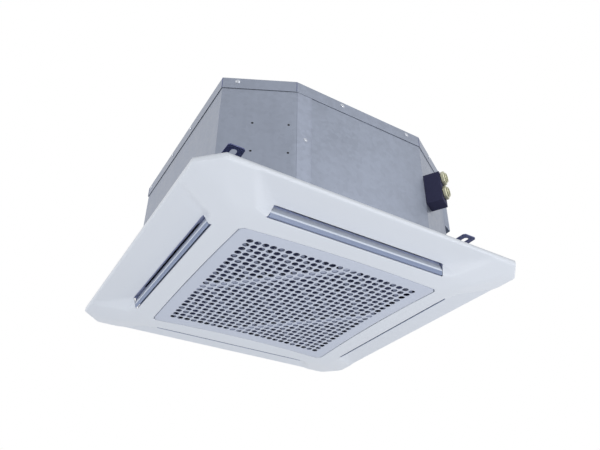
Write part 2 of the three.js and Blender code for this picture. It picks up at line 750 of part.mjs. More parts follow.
function vane() {
  const length = SLOT_LENGTH / 2 - VANE_END_PLAY;
  const blade = sideSection(vaneSection().map((p) => [p.x, p.y]), length, 0);
  const pinLength = SLOT_LENGTH / 2 + VANE_PIN_REACH;
  const pins = [-1, 1].map((sign) => {
    const [from, to] = [sign * (length - 6), sign * pinLength].sort((a, b) => a - b);
    return solid(alongY(VANE_PIN_RADIUS, from, to, 8));
  });
  const lugs = [-1, 1].map((sign) => {
    const [from, to] = [sign * (length - 3), sign * length].sort((a, b) => a - b);
    const low = -VANE_PIN_RADIUS - 0.6;
    return solid(block(-VANE_PIN_RADIUS, VANE_BELLY - 1.5, from, to, low, VANE_TOP * 0.4));
  });
  return joined(solid(blade), ...pins, ...lugs);
}

// The stepping motor that turns a louvre: a can, with a boss low down that takes the louvre's pin.
function vaneMotor() {
  const start = SLOT_LENGTH / 2 + PANEL_WALL + SEAT;
  const end = start + VANE_MOTOR_LENGTH;
  const can = alongY(VANE_MOTOR_RADIUS, start, end, 12).translate(-VANE_MOTOR_SHIFT, 0, VANE_MOTOR_RISE);
  const boss = alongY(VANE_MOTOR_BOSS, start, end - 5, 8);
  const ears = block(-VANE_MOTOR_RADIUS - VANE_MOTOR_SHIFT - 4, VANE_MOTOR_RADIUS - VANE_MOTOR_SHIFT,
    start, start + 1.5, VANE_MOTOR_RISE - 3, VANE_MOTOR_RISE + 3);
  const bore = alongY(VANE_PIN_RADIUS + BORE_PLAY, start - 1, SLOT_LENGTH / 2 + VANE_PIN_REACH + 1, 8);
  return joined(solid(can), solid(boss), solid(ears)).subtract(solid(bore));
}

function placeOnAxis(manifold) {
  return geometryOf(manifold).translate(VANE_AXIS_REACH, 0, VANE_AXIS_HEIGHT);
}

// ---------------------------------------------------------------- casing

function casingShell() {
  const outer = inset(CASING_OUTLINE, SHELL_INSET);
  const top = LID_UNDERSIDE - SEAT;
  const wall = solid(raised(polygon(outer), CASING_BASE, top));
  const inner = solid(raised(polygon(inset(outer, SHEET)), CASING_BASE + SHEET, top + 5));
  const mouth = inset(outer, SHEET + BOTTOM_FLANGE);
  const shell = cut(wall, inner, solid(raised(polygon(mouth), CASING_BASE - 5, top)));
  return cut(shell, ...pipeHoles(), spoutHole(), ...mountingHoles());
}

function topCover() {
  const plate = solid(raised(polygon(CASING_OUTLINE), LID_TOP - LID_RIM, LID_TOP));
  const hollow = solid(raised(polygon(inset(CASING_OUTLINE, SHEET)), LID_TOP - LID_RIM - 5, LID_UNDERSIDE));
  const foot = LID_TOP - LID_BEAD / 4;
  const outer = LID_RING + BEAD_WIDTH / 2;
  const beads = [0, 1, 2, 3].map((side) => {
    const from = outer + BEAD_MARGIN;
    const bead = block(from, half - LID_RIM, -BEAD_WIDTH / 2, BEAD_WIDTH / 2, foot, CASING_TOP);
    return solid(onSide(bead, side));
  });
  const inner = outer - BEAD_WIDTH;
  const ring = [[inner, foot], [outer, foot], [outer, CASING_TOP], [inner, CASING_TOP], [inner, foot]];
  return joined(plate.subtract(hollow), solid(turned(ring, 16)), ...beads);
}

function insulationLiner() {
  const outer = inset(CASING_OUTLINE, LINER_INSET);
  const low = PAN_TOP + SEAT;
  const body = solid(raised(polygon(outer), low, LINER_TOP));
  const room = solid(raised(polygon(inset(outer, LINER_THICKNESS)), low - 5, LINER_CEILING));
  const hole = solid(upright(MOTOR_PLATE_RADIUS + 2, LINER_CEILING - 5, LINER_TOP + 5, 24));
  return cut(body, room, hole, ...pipeHoles(), spoutHole());
}

// Where the two water pipes pass the pipe corner.
function pipeHoles() {
  return [0, 1].map((k) => {
    const radius = PIPE_RADIUS + PIPE_PLAY;
    const hole = new THREE.CylinderGeometry(radius, radius, PIPE_CUT, 12);
    hole.rotateZ(Math.atan2(pipeCorner.out.y, pipeCorner.out.x) + Math.PI / 2);
    const [x, y] = onPipeCorner(PIPE_INSET, 0);
    return solid(hole.translate(x, y, PIPE_LOW + k * PIPE_STEP));
  });
}

function spoutHole() {
  const radius = SPOUT_RADIUS - SPOUT_WALL + 1;
  const hole = new THREE.CylinderGeometry(radius, radius, CASING_WALL * 4, 12);
  return solid(hole.rotateZ(Math.PI / 2).translate(half - CASING_WALL, SPOUT_Y, SPOUT_HEIGHT));
}

function mountingHoles() {
  const start = new THREE.Vector2(-half, -half + END_CHAMFER);
  const along = new THREE.Vector2(LEFT_CHAMFER, -END_CHAMFER).normalize();
  const holes = [];
  for (const u of PILOT_STATIONS) {
    for (const height of PILOT_LEVELS) {
      const hole = new THREE.CylinderGeometry(PILOT_RADIUS, PILOT_RADIUS, CASING_WALL, 8);
      hole.rotateZ(Math.atan2(along.y, along.x));
      hole.translate(start.x + along.x * u, start.y + along.y * u, CASING_BASE + height);
      holes.push(solid(hole));
    }
  }
  return holes;
}

// A flat foam ring between the panel and the casing, with a window for each air way.
function panelGasket() {
  const low = PANEL_TOP + SEAT;
  const high = low + GASKET_THICKNESS;
  const inner = WELL_REACH + 1;
  let ring = solid(raised(polygon(inset(CASING_OUTLINE, SHELL_INSET + 4)), low, high));
  ring = ring.subtract(solid(block(-inner, inner, -inner, inner, low - 1, high + 1)));
  for (let side = 0; side < 4; side += 1) {
    const l = DUCT_LENGTH / 2;
    ring = ring.subtract(solid(onSide(block(DUCT_INNER, DUCT_OUTER, -l, l, low - 1, high + 1), side)));
  }
  return ring;
}

// ---------------------------------------------------------------- drain pan and bell mouth

function drainPan() {
  const outer = inset(CASING_OUTLINE, LINER_INSET);
  let pan = solid(raised(polygon(outer), PAN_BASE, PAN_TOP));
  pan = pan.subtract(solid(upright(PAN_OPENING, PAN_BASE - 5, PAN_TOP + 5, 24)));
  const plate = BELL_PLATE + SEAT;
  const plateTop = CASING_BASE + BELL_SKIN + SEAT;
  pan = pan.subtract(solid(block(-plate, plate, -plate, plate, PAN_BASE - 5, plateTop)));
  const troughOuter = roundedSquare(COIL_REACH + TROUGH_PLAY, COIL_CORNER + TROUGH_PLAY);
  const troughInner = roundedSquare(COIL_REACH - COIL_DEPTH - TROUGH_PLAY, COIL_CORNER - COIL_DEPTH);
  const trough = solid(raised(troughOuter, TROUGH_FLOOR, PAN_TOP + 5, 4))
    .subtract(solid(raised(troughInner, TROUGH_FLOOR - 5, PAN_TOP + 10, 4)));
  pan = cut(pan, trough, sump());
  for (let side = 0; side < 4; side += 1) {
    const l = DUCT_LENGTH / 2;
    const duct = sideSection([
      [DUCT_INNER, PAN_BASE - 5],
      [DUCT_OUTER, PAN_BASE - 5],
      [DUCT_OUTER, PAN_TOP + 5],
      [DUCT_INNER, PAN_TOP + 5],
    ], l, side);
    pan = pan.subtract(solid(duct));
  }
  return cut(pan, ...screwHoles(PAN_BASE - 5, PAN_BASE + 10));
}

// The deeper end of the trough, round the pump and its float.
function sump() {
  const pumpRoom = upright(PUMP_RADIUS + TROUGH_PLAY, TROUGH_FLOOR, PAN_TOP + 5, 14);
  const floatRoom = upright(FLOAT_RADIUS + TROUGH_PLAY, TROUGH_FLOOR, PAN_TOP + 5, 12);
  pumpRoom.translate(PUMP_X, PUMP_Y, 0);
  floatRoom.translate(PUMP_X - FLOAT_OFFSET, PUMP_Y, 0);
  return joined(solid(pumpRoom), solid(floatRoom));
}

function screwHoles(low, high) {
  return [0, 1, 2, 3].map((side) => {
    const hole = upright(SCREW_RADIUS + BORE_PLAY, low, high, 12).translate(SCREW_REACH, SCREW_REACH, 0);
    return solid(onSide(hole, side));
  });
}

// A flat plate with a throat that curves up into the fan's eye.
function bellMouth() {
  const low = CASING_BASE;
  const top = FAN_BASE + BELL_LIP;
  const curve = [];
  for (let i = 0; i <= BELL_STEPS; i += 1) {
    const angle = (i / BELL_STEPS) * (Math.PI / 2);
    const radius = BELL_FLARE - (BELL_FLARE - BELL_THROAT) * Math.sin(angle);
    curve.push([radius, low + (top - low) * (1 - Math.cos(angle))]);
  }
  const outside = curve.map(([r, z]) => [r + BELL_SKIN, z]).reverse();
  const profile = [...curve, ...outside, curve[0]];
  const throat = solid(turned(profile, BELL_SIDES));
  const plate = solid(block(-BELL_PLATE, BELL_PLATE, -BELL_PLATE, BELL_PLATE, low, low + BELL_SKIN));
  const opening = solid(upright(BELL_FLARE + 1, low - 5, low + 10, BELL_SIDES));
  const body = joined(plate.subtract(opening), throat);
  return cut(body, ...screwHoles(low - 5, low + 10));
}

// ---------------------------------------------------------------- coil

// The finned block: a square loop with round corners, open at the pipe corner.
function finBlock() {
  const low = COIL_BASE;
  const high = COIL_TOP;
  const outer = solid(raised(roundedSquare(COIL_REACH, COIL_CORNER), low, high, 5));
  const inner = solid(raised(
    roundedSquare(COIL_REACH - COIL_DEPTH, COIL_CORNER - COIL_DEPTH), low - 5, high + 5, 5));
  const gap = solid(block(COIL_END, COIL_REACH + 5, -COIL_REACH - 5, -COIL_END, low - 5, high + 5));
  return cut(outer, inner, gap);
}

// The plate at one end of the coil with its return bends. It is made for the near end, which faces right.
function endPlate() {
  const outer = -COIL_REACH;
  const middle = outer + COIL_DEPTH / 2;
  const x0 = COIL_END + SEAT;
  const plate = block(x0, x0 + END_PLATE, outer, outer + COIL_DEPTH, COIL_BASE, COIL_TOP);
  const bends = [];
  for (let row = 0; row < TUBE_ROWS; row += 1) {
    bends.push(returnBend(x0 + END_PLATE, middle, COIL_BASE + TUBE_PITCH * (row + 0.5)));
  }
  return joined(solid(plate), ...bends);
}

function returnBend(x, y, z) {
  const r = COIL_DEPTH / 4;
  const reach = r * 0.9;
  const start = x - 1;
  const turn = x + 2;
  const points = [
    [start, y - r, z], [turn, y - r, z], [turn + reach, y, z], [turn, y + r, z], [start, y + r, z]];
  return solid(tube(points, TUBE_RADIUS, 3, 2));
}

// A header: an upright pipe beside the coil's end plate, and a bent pipe that leaves by the pipe corner.
function header(x, y, pipeHeight, bend) {
  const low = COIL_BASE + HEADER_MARGIN;
  const high = COIL_TOP - HEADER_MARGIN;
  const body = solid(upright(HEADER_RADIUS, low, high, 12).translate(x, y, 0));
  const depth = CASING_WALL + 8;
  const length = BLOCK_DEPTH + depth;
  const straight = new THREE.CylinderGeometry(PIPE_RADIUS, PIPE_RADIUS, length, 12);
  const outlet = orient(straight, PIPE_INSET, (BLOCK_DEPTH - depth) / 2, pipeHeight);
  const points = [onPipeCorner(PIPE_INSET, 4 - depth), onPipeCorner(PIPE_INSET, -1 - depth), bend, [x, y]];
  const bent = tube(points.map(([px, py]) => [px, py, pipeHeight]), PIPE_RADIUS - 0.4, 5, 4);
  return joined(body, solid(outlet), solid(bent));
}

// Short feeder tubes from a header to the coil's end plate, between the return bends.
function feeders(turnZ, across) {
  const start = COIL_END + SEAT + END_PLATE + SEAT;
  const length = END_PLATE + HEADER_STAND_OFF - SEAT;
  return [1, 3, 5].map((row) => {
    const feeder = new THREE.CylinderGeometry(FEEDER_RADIUS, FEEDER_RADIUS, length, 8).rotateZ(Math.PI / 2);
    feeder.translate(start + length / 2, across, COIL_BASE + TUBE_PITCH * row).rotateZ(turnZ);
    return solid(feeder);
  });
}

function supplyHeader() {
  const x = COIL_END + END_PLATE + HEADER_STAND_OFF;
  const y = -COIL_REACH + HEADER_RADIUS + 2;
  return joined(header(x, y, PIPE_LOW, [x + 5, y - 14]), ...feeders(0, y));
}

function returnHeader() {
  const x = COIL_REACH - HEADER_RADIUS - 2;
  const y = -COIL_END - END_PLATE - HEADER_STAND_OFF;
  const pipe = header(x, y, PIPE_LOW + PIPE_STEP, [x - 12, y - 32]);
  return joined(pipe, ...feeders(-Math.PI / 2, x));
}

// ---------------------------------------------------------------- pipe corner

function orient(geometry, along, out, height) {
  const [x, y] = onPipeCorner(along, out);
  return geometry.rotateZ(Math.atan2(pipeCorner.along.y, pipeCorner.along.x)).translate(x, y, height);
}

// The foam block that the two pipes come out of.
function pipeBlock() {
  const low = PIPE_LOW - BLOCK_BELOW;
  const high = PIPE_LOW + PIPE_STEP + BLOCK_ABOVE;
  const near = PIPE_INSET - BLOCK_WIDTH / 2;
  const body = block(0, BLOCK_WIDTH, -BLOCK_DEPTH, SHELL_INSET - SEAT, low, high);
  let foam = solid(orient(body, near, 0, 0));
  for (let k = 0; k < 2; k += 1) {
    const hole = new THREE.CylinderGeometry(PIPE_RADIUS + SEAT, PIPE_RADIUS + SEAT, BLOCK_DEPTH * 3, 12);
    foam = foam.subtract(solid(orient(hole, PIPE_INSET, BLOCK_DEPTH / 2, PIPE_LOW + k * PIPE_STEP)));
  }
  return foam;
}

// A brass union: six sides, a chamfered end and a threaded mouth with a bore.
function union(k) {
  const corner = NUT_ACROSS / Math.sqrt(3);
  const end = SEAT + NUT_LENGTH + NUT_THREAD_LENGTH;
  const hex = new THREE.CylinderGeometry(corner, corner, NUT_LENGTH, 6);
  hex.translate(0, -NUT_LENGTH / 2 - SEAT, 0);
  const inside = NUT_LENGTH / 2;
  const mouth = new THREE.CylinderGeometry(NUT_THREAD_RADIUS, NUT_THREAD_RADIUS, end - inside, 18);
  mouth.translate(0, -(end + inside) / 2, 0);
  const bore = new THREE.CylinderGeometry(NUT_BORE, NUT_BORE, 2 * (end - SEAT - NUT_FLOOR), 14);
  bore.translate(0, -end, 0);
  const body = joined(solid(hex), solid(mouth)).subtract(solid(bore));
  return orient(geometryOf(body), PIPE_INSET, BLOCK_DEPTH, PIPE_LOW + k * PIPE_STEP);
}

// ---------------------------------------------------------------- hangers

// One hanger bracket: a tongue with a slotted hole, parallel to the ceiling, and a flange down the chamfer.
function hangerBracket(signX, signY) {
  const chamferX = signX < 0 ? LEFT_CHAMFER : RIGHT_CHAMFER;
  const inward = new THREE.Vector2(END_CHAMFER, -chamferX).normalize();
  const foot = [half - chamferX, half];
  const along = new THREE.Vector2(chamferX, -END_CHAMFER).normalize();
  const out = new THREE.Vector2(-along.y, along.x);
  const length = Math.hypot(chamferX, END_CHAMFER);
  const gap = SEAT - SHELL_INSET;
  const at = (u, d) => [foot[0] + along.x * u + out.x * d, foot[1] + along.y * u + out.y * d];
  const tongue = [
    at(length - HANGER_FOOT, gap),
    at(length - 1, gap),
    [HANGER_X + HANGER_WIDTH / 2, half - END_CHAMFER + 4],
    [HANGER_X + HANGER_WIDTH / 2, HANGER_END - 4],
    [HANGER_X + HANGER_WIDTH / 2 - 4, HANGER_END],
    [HANGER_X - HANGER_WIDTH / 2 + 4, HANGER_END],
    [HANGER_X - HANGER_WIDTH / 2, HANGER_END - 4],
  ];
  const flange = [at(length - HANGER_FOOT, gap), at(length - 1, gap), at(length - 1, gap + HANGER_SHEET),
    at(length - HANGER_FOOT, gap + HANGER_SHEET)];
  const slot = new THREE.Shape();
  const r = HANGER_HOLE / 2;
  slot.absarc(HANGER_X, HANGER_Y + HANGER_SLOT / 2, r, 0, Math.PI);
  slot.absarc(HANGER_X, HANGER_Y - HANGER_SLOT / 2, r, Math.PI, Math.PI * 2);
  slot.closePath();
  let bracket = joined(
    solid(raised(polygon(tongue), HANGER_LEVEL, HANGER_LEVEL + HANGER_SHEET)),
    solid(raised(polygon(flange), HANGER_LEVEL - HANGER_DROP, HANGER_LEVEL + HANGER_SHEET)));
  bracket = bracket.subtract(solid(raised(slot, HANGER_LEVEL - 9, HANGER_LEVEL + 9, 4)));
  const geometry = geometryOf(bracket);
  return mirrored(geometry, signX, signY);
}

// A copy mirrored in X, Y or both, with its faces turned back where that leaves it inside out.
function mirrored(geometry, signX, signY) {
  geometry.scale(signX, signY, 1);
  if (signX * signY < 0) geometry.index.array.reverse();
  return geometry;
}

// ---------------------------------------------------------------- fan

// Radius of a point on a blade's middle line, and its angle, for a share of the way out.
function bladeLine(share) {
  const radius = BLADE_INNER + (FAN_RADIUS - 2 - BLADE_INNER) * share;
  const angle = -BLADE_SWEEP * (0.35 * share + 0.65 * share * share);
  return new THREE.Vector2(radius * Math.cos(angle), radius * Math.sin(angle));
}

function bladeOutline() {
  const steps = 3;
  const left = [];
  const right = [];
  for (let i = 0; i <= steps; i += 1) {
    const at = bladeLine(i / steps);
    const before = bladeLine(Math.max(0, i / steps - 0.01));
    const after = bladeLine(Math.min(1, i / steps + 0.01));
    const across = after.sub(before).normalize().rotateAround(new THREE.Vector2(), Math.PI / 2);
    const thick = (BLADE_THICKNESS / 2) * (1 - 0.35 * (i / steps));
    left.push([at.x + across.x * thick, at.y + across.y * thick]);
    right.unshift([at.x - across.x * thick, at.y - across.y * thick]);
  }
  return [...left, ...right];
}

// The curve of the shroud from the eye, at the bottom, out to the rim.
function shroudCurve(offset) {
  const points = [];
  for (let i = 0; i <= FAN_STEPS; i += 1) {
    const angle = (i / FAN_STEPS) * (Math.PI / 2);
    const radius = FAN_EYE + (FAN_RADIUS - FAN_EYE) * (1 - Math.cos(angle));
    points.push([radius, FAN_BASE + FAN_SHROUD_RISE * Math.sin(angle) + offset]);
  }
  return points;
}

// The curved ring that closes the blades on the side where the air comes in.
function fanShroud() {
  const under = shroudCurve(0);
  const over = shroudCurve(FAN_SKIN).reverse();
  return solid(turned([...under, ...over, under[0]], FAN_SIDES));
}

// The wheel's back disc, which sinks to a cone round the motor's nose, with the hub.
function fanWheel() {
  const under = FAN_TOP - FAN_SKIN;
  const disc = solid(turned([
    [0, CONE_TOP - FAN_SKIN],
    [HUB_RADIUS, CONE_TOP - FAN_SKIN],
    [CONE_RADIUS, under],
    [FAN_RADIUS, under],
    [FAN_RADIUS, FAN_TOP],
    [CONE_RADIUS - FAN_SKIN, FAN_TOP],
    [HUB_RADIUS + FAN_SKIN, CONE_TOP],
    [0, CONE_TOP],
  ], FAN_SIDES));
  const hub = solid(upright(HUB_RADIUS, HUB_BASE, CONE_TOP + 2 * FAN_SKIN, 16));
  const bore = solid(upright(SHAFT_RADIUS + BORE_PLAY, HUB_BASE - 5, FAN_TOP + 5, 12));
  return joined(disc, hub).subtract(bore);
}

// One of the blades, which stand between the shroud and the back disc.
function fanBlade(number) {
  const low = FAN_BASE + BELL_LIP + BELL_CLEARANCE;
  const high = FAN_TOP - FAN_SKIN - BLADE_PLAY;
  const room = solid(turned([
    [0, low],
    ...shroudCurve(FAN_SKIN + BLADE_PLAY).filter(([, z]) => z > low),
    [FAN_RADIUS, high],
    [0, high],
  ], FAN_SIDES));
  const blade = raised(polygon(bladeOutline()), FAN_BASE, FAN_TOP);
  blade.rotateZ((number / BLADE_COUNT) * Math.PI * 2);
  return solid(blade).intersect(room);
}

function fanMotor() {
  const r = MOTOR_RADIUS;
  const groove = r - MOTOR_SEAM_DEPTH;
  const low = MOTOR_BASE + MOTOR_SEAM_LOW;
  const high = MOTOR_BASE + MOTOR_SEAM_HIGH;
  const bell = [
    [0, MOTOR_BASE], [MOTOR_NOSE, MOTOR_BASE], [MOTOR_NOSE + 4, MOTOR_BASE + 8], [r - 8, MOTOR_BASE + 12],
    [r, MOTOR_BASE + 20], [r, low], [groove, low], [groove, high], [r, high],
    [r, MOTOR_TOP - 6], [r - 10, MOTOR_TOP], [0, MOTOR_TOP],
  ];
  const body = solid(turned(bell, 16));
  const bore = solid(upright(SHAFT_RADIUS + BORE_PLAY, MOTOR_BASE - 5, MOTOR_BASE + 30, 12));
  return body.subtract(bore);
}

function motorPlate() {
  const plate = solid(upright(MOTOR_PLATE_RADIUS, MOTOR_PLATE_TOP - SHEET, MOTOR_PLATE_TOP, 20));
  const slots = [0, 1, 2, 3].map((k) => {
    const hole = upright(3.5, MOTOR_PLATE_TOP - 9, MOTOR_PLATE_TOP + 9, 8);
    return solid(hole.translate(MOTOR_PLATE_RADIUS - 9, 0, 0).rotateZ(Math.PI / 4 + (k * Math.PI) / 2));
  });
  return cut(plate, ...slots);
}

// The shaft runs from inside the motor down through the hub and its nut.
function motorShaft() {
  return solid(upright(SHAFT_RADIUS, HUB_BASE - HUB_NUT_HEIGHT - 2, MOTOR_BASE + 28, 12));
}

function hubNut() {
  const top = HUB_BASE - SEAT;
  const nut = solid(upright(HUB_NUT_RADIUS, top - HUB_NUT_HEIGHT, top, 6));
  return nut.subtract(solid(upright(SHAFT_RADIUS + BORE_PLAY, top - 20, top + 20, 12)));
}

// ---------------------------------------------------------------- drain pump

// The pump: a suction foot, the body above it, and an arm with the pin that guides the float.
function drainPump() {
  const low = TROUGH_FLOOR + SEAT;
  const shoulder = low + PUMP_FOOT_HEIGHT;
  const foot = solid(upright(PUMP_FOOT_RADIUS, low, shoulder + 1, 16));
  const body = solid(upright(PUMP_RADIUS, shoulder, PUMP_TOP, 18));
  const arm = solid(block(-FLOAT_OFFSET - 3, 0, -3, 3, shoulder, shoulder + 6));
  const guide = upright(FLOAT_GUIDE_RADIUS, low + 2, shoulder + 1, 8).translate(-FLOAT_OFFSET, 0, 0);
  return joined(foot, body, arm, solid(guide));
}

function pumpFloat() {
  const low = TROUGH_FLOOR + SEAT + 1;
  const ring = solid(upright(FLOAT_RADIUS, low, low + FLOAT_HEIGHT, 14).translate(-FLOAT_OFFSET, 0, 0));
  const bore = upright(FLOAT_GUIDE_RADIUS + BORE_PLAY, low - 5, low + 30, 8).translate(-FLOAT_OFFSET, 0, 0);
  return ring.subtract(solid(bore));
}

// The riser: a hose from the pump's top, past the water pipes, to the drain outlet in the right face.
function drainRiser() {
  const start = [PUMP_X + RISER_OFFSET, PUMP_Y, PUMP_TOP + SEAT];
  const end = [half - SHELL_INSET, SPOUT_Y, SPOUT_HEIGHT];
  const rise = end[2] - start[2];
  return solid(tube([
    start,
    [start[0], start[1], start[2] + rise * 0.2],
    [start[0] + (end[0] - start[0]) * 0.2, start[1] + (end[1] - start[1]) * 0.4, start[2] + rise * 0.65],
    [end[0] - 40, end[1] - 6, end[2] - 8],
    [end[0] - CASING_WALL, end[1], end[2]],
    end,
  ], RISER_RADIUS, 9, 4));
}

// ---------------------------------------------------------------- control box

function boxPlace() {
  const high = CASING_BASE - SEAT;
  const far = WELL_REACH - 6;
  const right = BOX_LENGTH / 2;
  return { low: high - BOX_HEIGHT, high, near: far - BOX_WIDTH, far, left: -right, right };
}

function controlBox() {
  const { low, high, near, far, left, right } = boxPlace();
  const tray = solid(block(left, right, near, far, low + BOX_SHEET + SEAT, high));
  const room = solid(block(left + BOX_SHEET, right - BOX_SHEET, near + BOX_SHEET, far - BOX_SHEET, low - 1,
    high - BOX_SHEET));
  return tray.subtract(room);
}

function controlCover() {
  const { low, near, far, left, right } = boxPlace();
  const plate = solid(block(left, right, near, far, low, low + BOX_SHEET));
  const holes = [left + 8, right - 8].map((x) => {
    return solid(upright(2, low - 1, low + 5, 8).translate(x, (near + far) / 2, 0));
  });
  return cut(plate, ...holes);
}

// ---------------------------------------------------------------- small outside pieces

// The cover over the drain pump on the right face: a shallow box with a sloping lower end.
function pumpCover() {
  const y0 = -half + END_CHAMFER + 3;
  const x0 = half - SHELL_INSET + SEAT;
  const x1 = half + COVER_PROUD;
  const foot = COVER_BASE + COVER_SLOPE;
  const shape = polygon([[x0, foot], [x1, COVER_BASE], [x1, COVER_TOP], [x0, COVER_TOP]]);
  const body = new THREE.ExtrudeGeometry(shape, { depth: COVER_LENGTH, bevelEnabled: false });
  return solid(body.rotateX(Math.PI / 2).translate(0, y0 + COVER_LENGTH, 0));
}

function drainSpout() {
  const x0 = half - SHELL_INSET + SEAT;
  const rim = SPOUT_RADIUS + SPOUT_FLANGE;
  const inner = SPOUT_RADIUS - SPOUT_WALL;
  const flange = new THREE.CylinderGeometry(rim, rim, 3, 16).translate(0, 1.5, 0);
  const stub = new THREE.CylinderGeometry(SPOUT_RADIUS, SPOUT_RADIUS, SPOUT_LENGTH, 16);
  stub.translate(0, SPOUT_LENGTH / 2, 0);
  const bore = new THREE.CylinderGeometry(inner, inner, SPOUT_LENGTH * 4, 16);
  const body = joined(solid(flange), solid(stub)).subtract(solid(bore));
  return geometryOf(body).rotateZ(-Math.PI / 2).translate(x0, SPOUT_Y, SPOUT_HEIGHT);
}

function cableGland() {
  const x0 = half - SHELL_INSET + SEAT;
  const nut = new THREE.CylinderGeometry(GLAND_RADIUS + 2, GLAND_RADIUS + 2, 7, 6).translate(0, 3.5, 0);
  const dome = new THREE.CylinderGeometry(GLAND_RADIUS - 2, GLAND_RADIUS, 8, 14).translate(0, 10.5, 0);
  const bore = new THREE.CylinderGeometry(GLAND_RADIUS - 5, GLAND_RADIUS - 5, 20, 12).translate(0, 15, 0);
  const body = joined(solid(nut), solid(dome)).subtract(solid(bore));
  return geometryOf(body).rotateZ(-Math.PI / 2).translate(x0, GLAND_Y, CASING_BASE + GLAND_HEIGHT);
}

function panelScrew() {
  const headTop = PANEL_TOP - PANEL_WALL - SEAT;
  const head = solid(upright(SCREW_HEAD, headTop - SCREW_HEAD_HEIGHT, headTop, 6));
  const shank = solid(upright(SCREW_RADIUS, headTop - 0.5, PAN_BASE + 8, 12));
  return joined(head, shank);
}

// ---------------------------------------------------------------- materials

const finish = {
  whitePlastic: { color: 0xe6e9ee, roughness: 0.45, metalness: 0 },
  vanePlastic: { color: 0xdde2ea, roughness: 0.4, metalness: 0 },
  galvanised: { color: 0x9aa1ac, roughness: 0.45, metalness: 0.8 },
  darkSteel: { color: 0x3b3f4c, roughness: 0.5, metalness: 0.7 },
  foam: { color: 0xf0f0ec, roughness: 0.9, metalness: 0 },
  blackFoam: { color: 0x1d1d26, roughness: 0.95, metalness: 0 },
  aluminium: { color: 0xb9bdc2, roughness: 0.4, metalness: 0.9 },
  copper: { color: 0xb36a45, roughness: 0.35, metalness: 0.9 },
  brass: { color: 0xd9d2a6, roughness: 0.35, metalness: 0.8 },
  greyPlastic: { color: 0x6a6f78, roughness: 0.6, metalness: 0 },
  fanPlastic: { color: 0x2c2f36, roughness: 0.55, metalness: 0 },
  blackRubber: { color: 0x24252a, roughness: 0.85, metalness: 0 },
  filterPlastic: { color: 0x5b6470, roughness: 0.7, metalness: 0 },
  zinc: { color: 0xb4b8bd, roughness: 0.35, metalness: 0.85 },
};

function geometryOf(shape) {
  if (shape.isBufferGeometry) return shape;
  const { vertProperties, triVerts } = shape.getMesh();
  const geometry = new THREE.BufferGeometry();
  geometry.setAttribute('position', new THREE.BufferAttribute(new Float32Array(vertProperties), 3));
  geometry.setIndex(new THREE.BufferAttribute(new Uint32Array(triVerts), 1));
  return geometry;
}

// ---------------------------------------------------------------- assembly

const cassette = new THREE.Group();

function add(name, shape, look, parent = cassette) {
  const geometry = geometryOf(shape);
  geometry.computeVertexNormals();
  const mesh = new THREE.Mesh(geometry, new THREE.MeshStandardMaterial(finish[look]));
  mesh.name = name;
  parent.add(mesh);
  return mesh;
}

// casing
add('top_cover', topCover(), 'galvanised');
add('casing_shell', casingShell(), 'galvanised');
add('insulation_liner', insulationLiner(), 'foam');
add('drain_pan', drainPan(), 'foam');
add('bell_mouth', bellMouth(), 'greyPlastic');
add('panel_gasket', panelGasket(), 'blackFoam');

for (const [name, signX, signY] of [
  ['near_left', -1, -1], ['near_right', 1, -1], ['far_right', 1, 1], ['far_left', -1, 1]]) {
  add(`hanger_bracket_${name}`, hangerBracket(signX, signY), 'darkSteel');
}

// coil and pipes
add('coil_fins', finBlock(), 'aluminium');
const nearPlate = endPlate();
add('coil_end_near', nearPlate, 'zinc');
const rightPlate = geometryOf(nearPlate).clone();
rightPlate.rotateZ(-Math.PI / 2).scale(-1, 1, 1);
rightPlate.index.array.reverse();
add('coil_end_right', rightPlate, 'zinc');
add('supply_header', supplyHeader(), 'copper');
add('return_header', returnHeader(), 'copper');
add('pipe_block', pipeBlock(), 'blackFoam');
add('supply_union', union(0), 'brass');
add('return_union', union(1), 'brass');

// fan
add('motor_plate', motorPlate(), 'zinc');
add('fan_motor', fanMotor(), 'greyPlastic');
add('motor_shaft', motorShaft(), 'zinc');
add('fan_wheel', fanWheel(), 'fanPlastic');
add('fan_shroud', fanShroud(), 'fanPlastic');
for (let k = 0; k < BLADE_COUNT; k += 1) add(`fan_blade_${k + 1}`, fanBlade(k), 'fanPlastic');
add('hub_nut', hubNut(), 'zinc');

// drain
const pump = new THREE.Group();
pump.position.set(PUMP_X, PUMP_Y, 0);
cassette.add(pump);
add('drain_pump', drainPump(), 'greyPlastic', pump);
add('pump_float', pumpFloat(), 'whitePlastic', pump);
add('drain_riser', drainRiser(), 'blackRubber');
add('pump_cover', pumpCover(), 'galvanised');
add('drain_spout', drainSpout(), 'greyPlastic');

// control
add('control_box', controlBox(), 'galvanised');
add('control_box_cover', controlCover(), 'galvanised');
add('cable_gland', cableGland(), 'blackRubber');

// panel
add('panel_frame', panelFrame(), 'whitePlastic');
['near_right', 'far_right', 'far_left', 'near_left'].forEach((name, k) => {
  const screw = new THREE.Group();
  screw.rotation.z = ((k - 1) * Math.PI) / 2;
  cassette.add(screw);
  const mesh = add(`panel_screw_${name}`, panelScrew(), 'zinc', screw);
  mesh.position.set(SCREW_REACH, SCREW_REACH, 0);
});
add('grille_catch_left', springCatch(-1), 'blackRubber');
add('grille_catch_right', springCatch(1), 'blackRubber');

['right', 'far', 'left', 'near'].forEach((name, side) => {
  const outlet = new THREE.Group();
  outlet.rotation.z = (side * Math.PI) / 2;
  cassette.add(outlet);
  add(`louvre_${name}`, placeOnAxis(vane()), 'vanePlastic', outlet);
  add(`louvre_motor_${name}`, placeOnAxis(vaneMotor()), 'greyPlastic', outlet);
});

// intake
add('intake_grille', intakeGrille(), 'whitePlastic');
add('grille_strike_left', grilleStrike(-1), 'zinc');
add('grille_strike_right', grilleStrike(1), 'zinc');
add('air_filter', airFilter(), 'filterPlastic');

export default cassette;
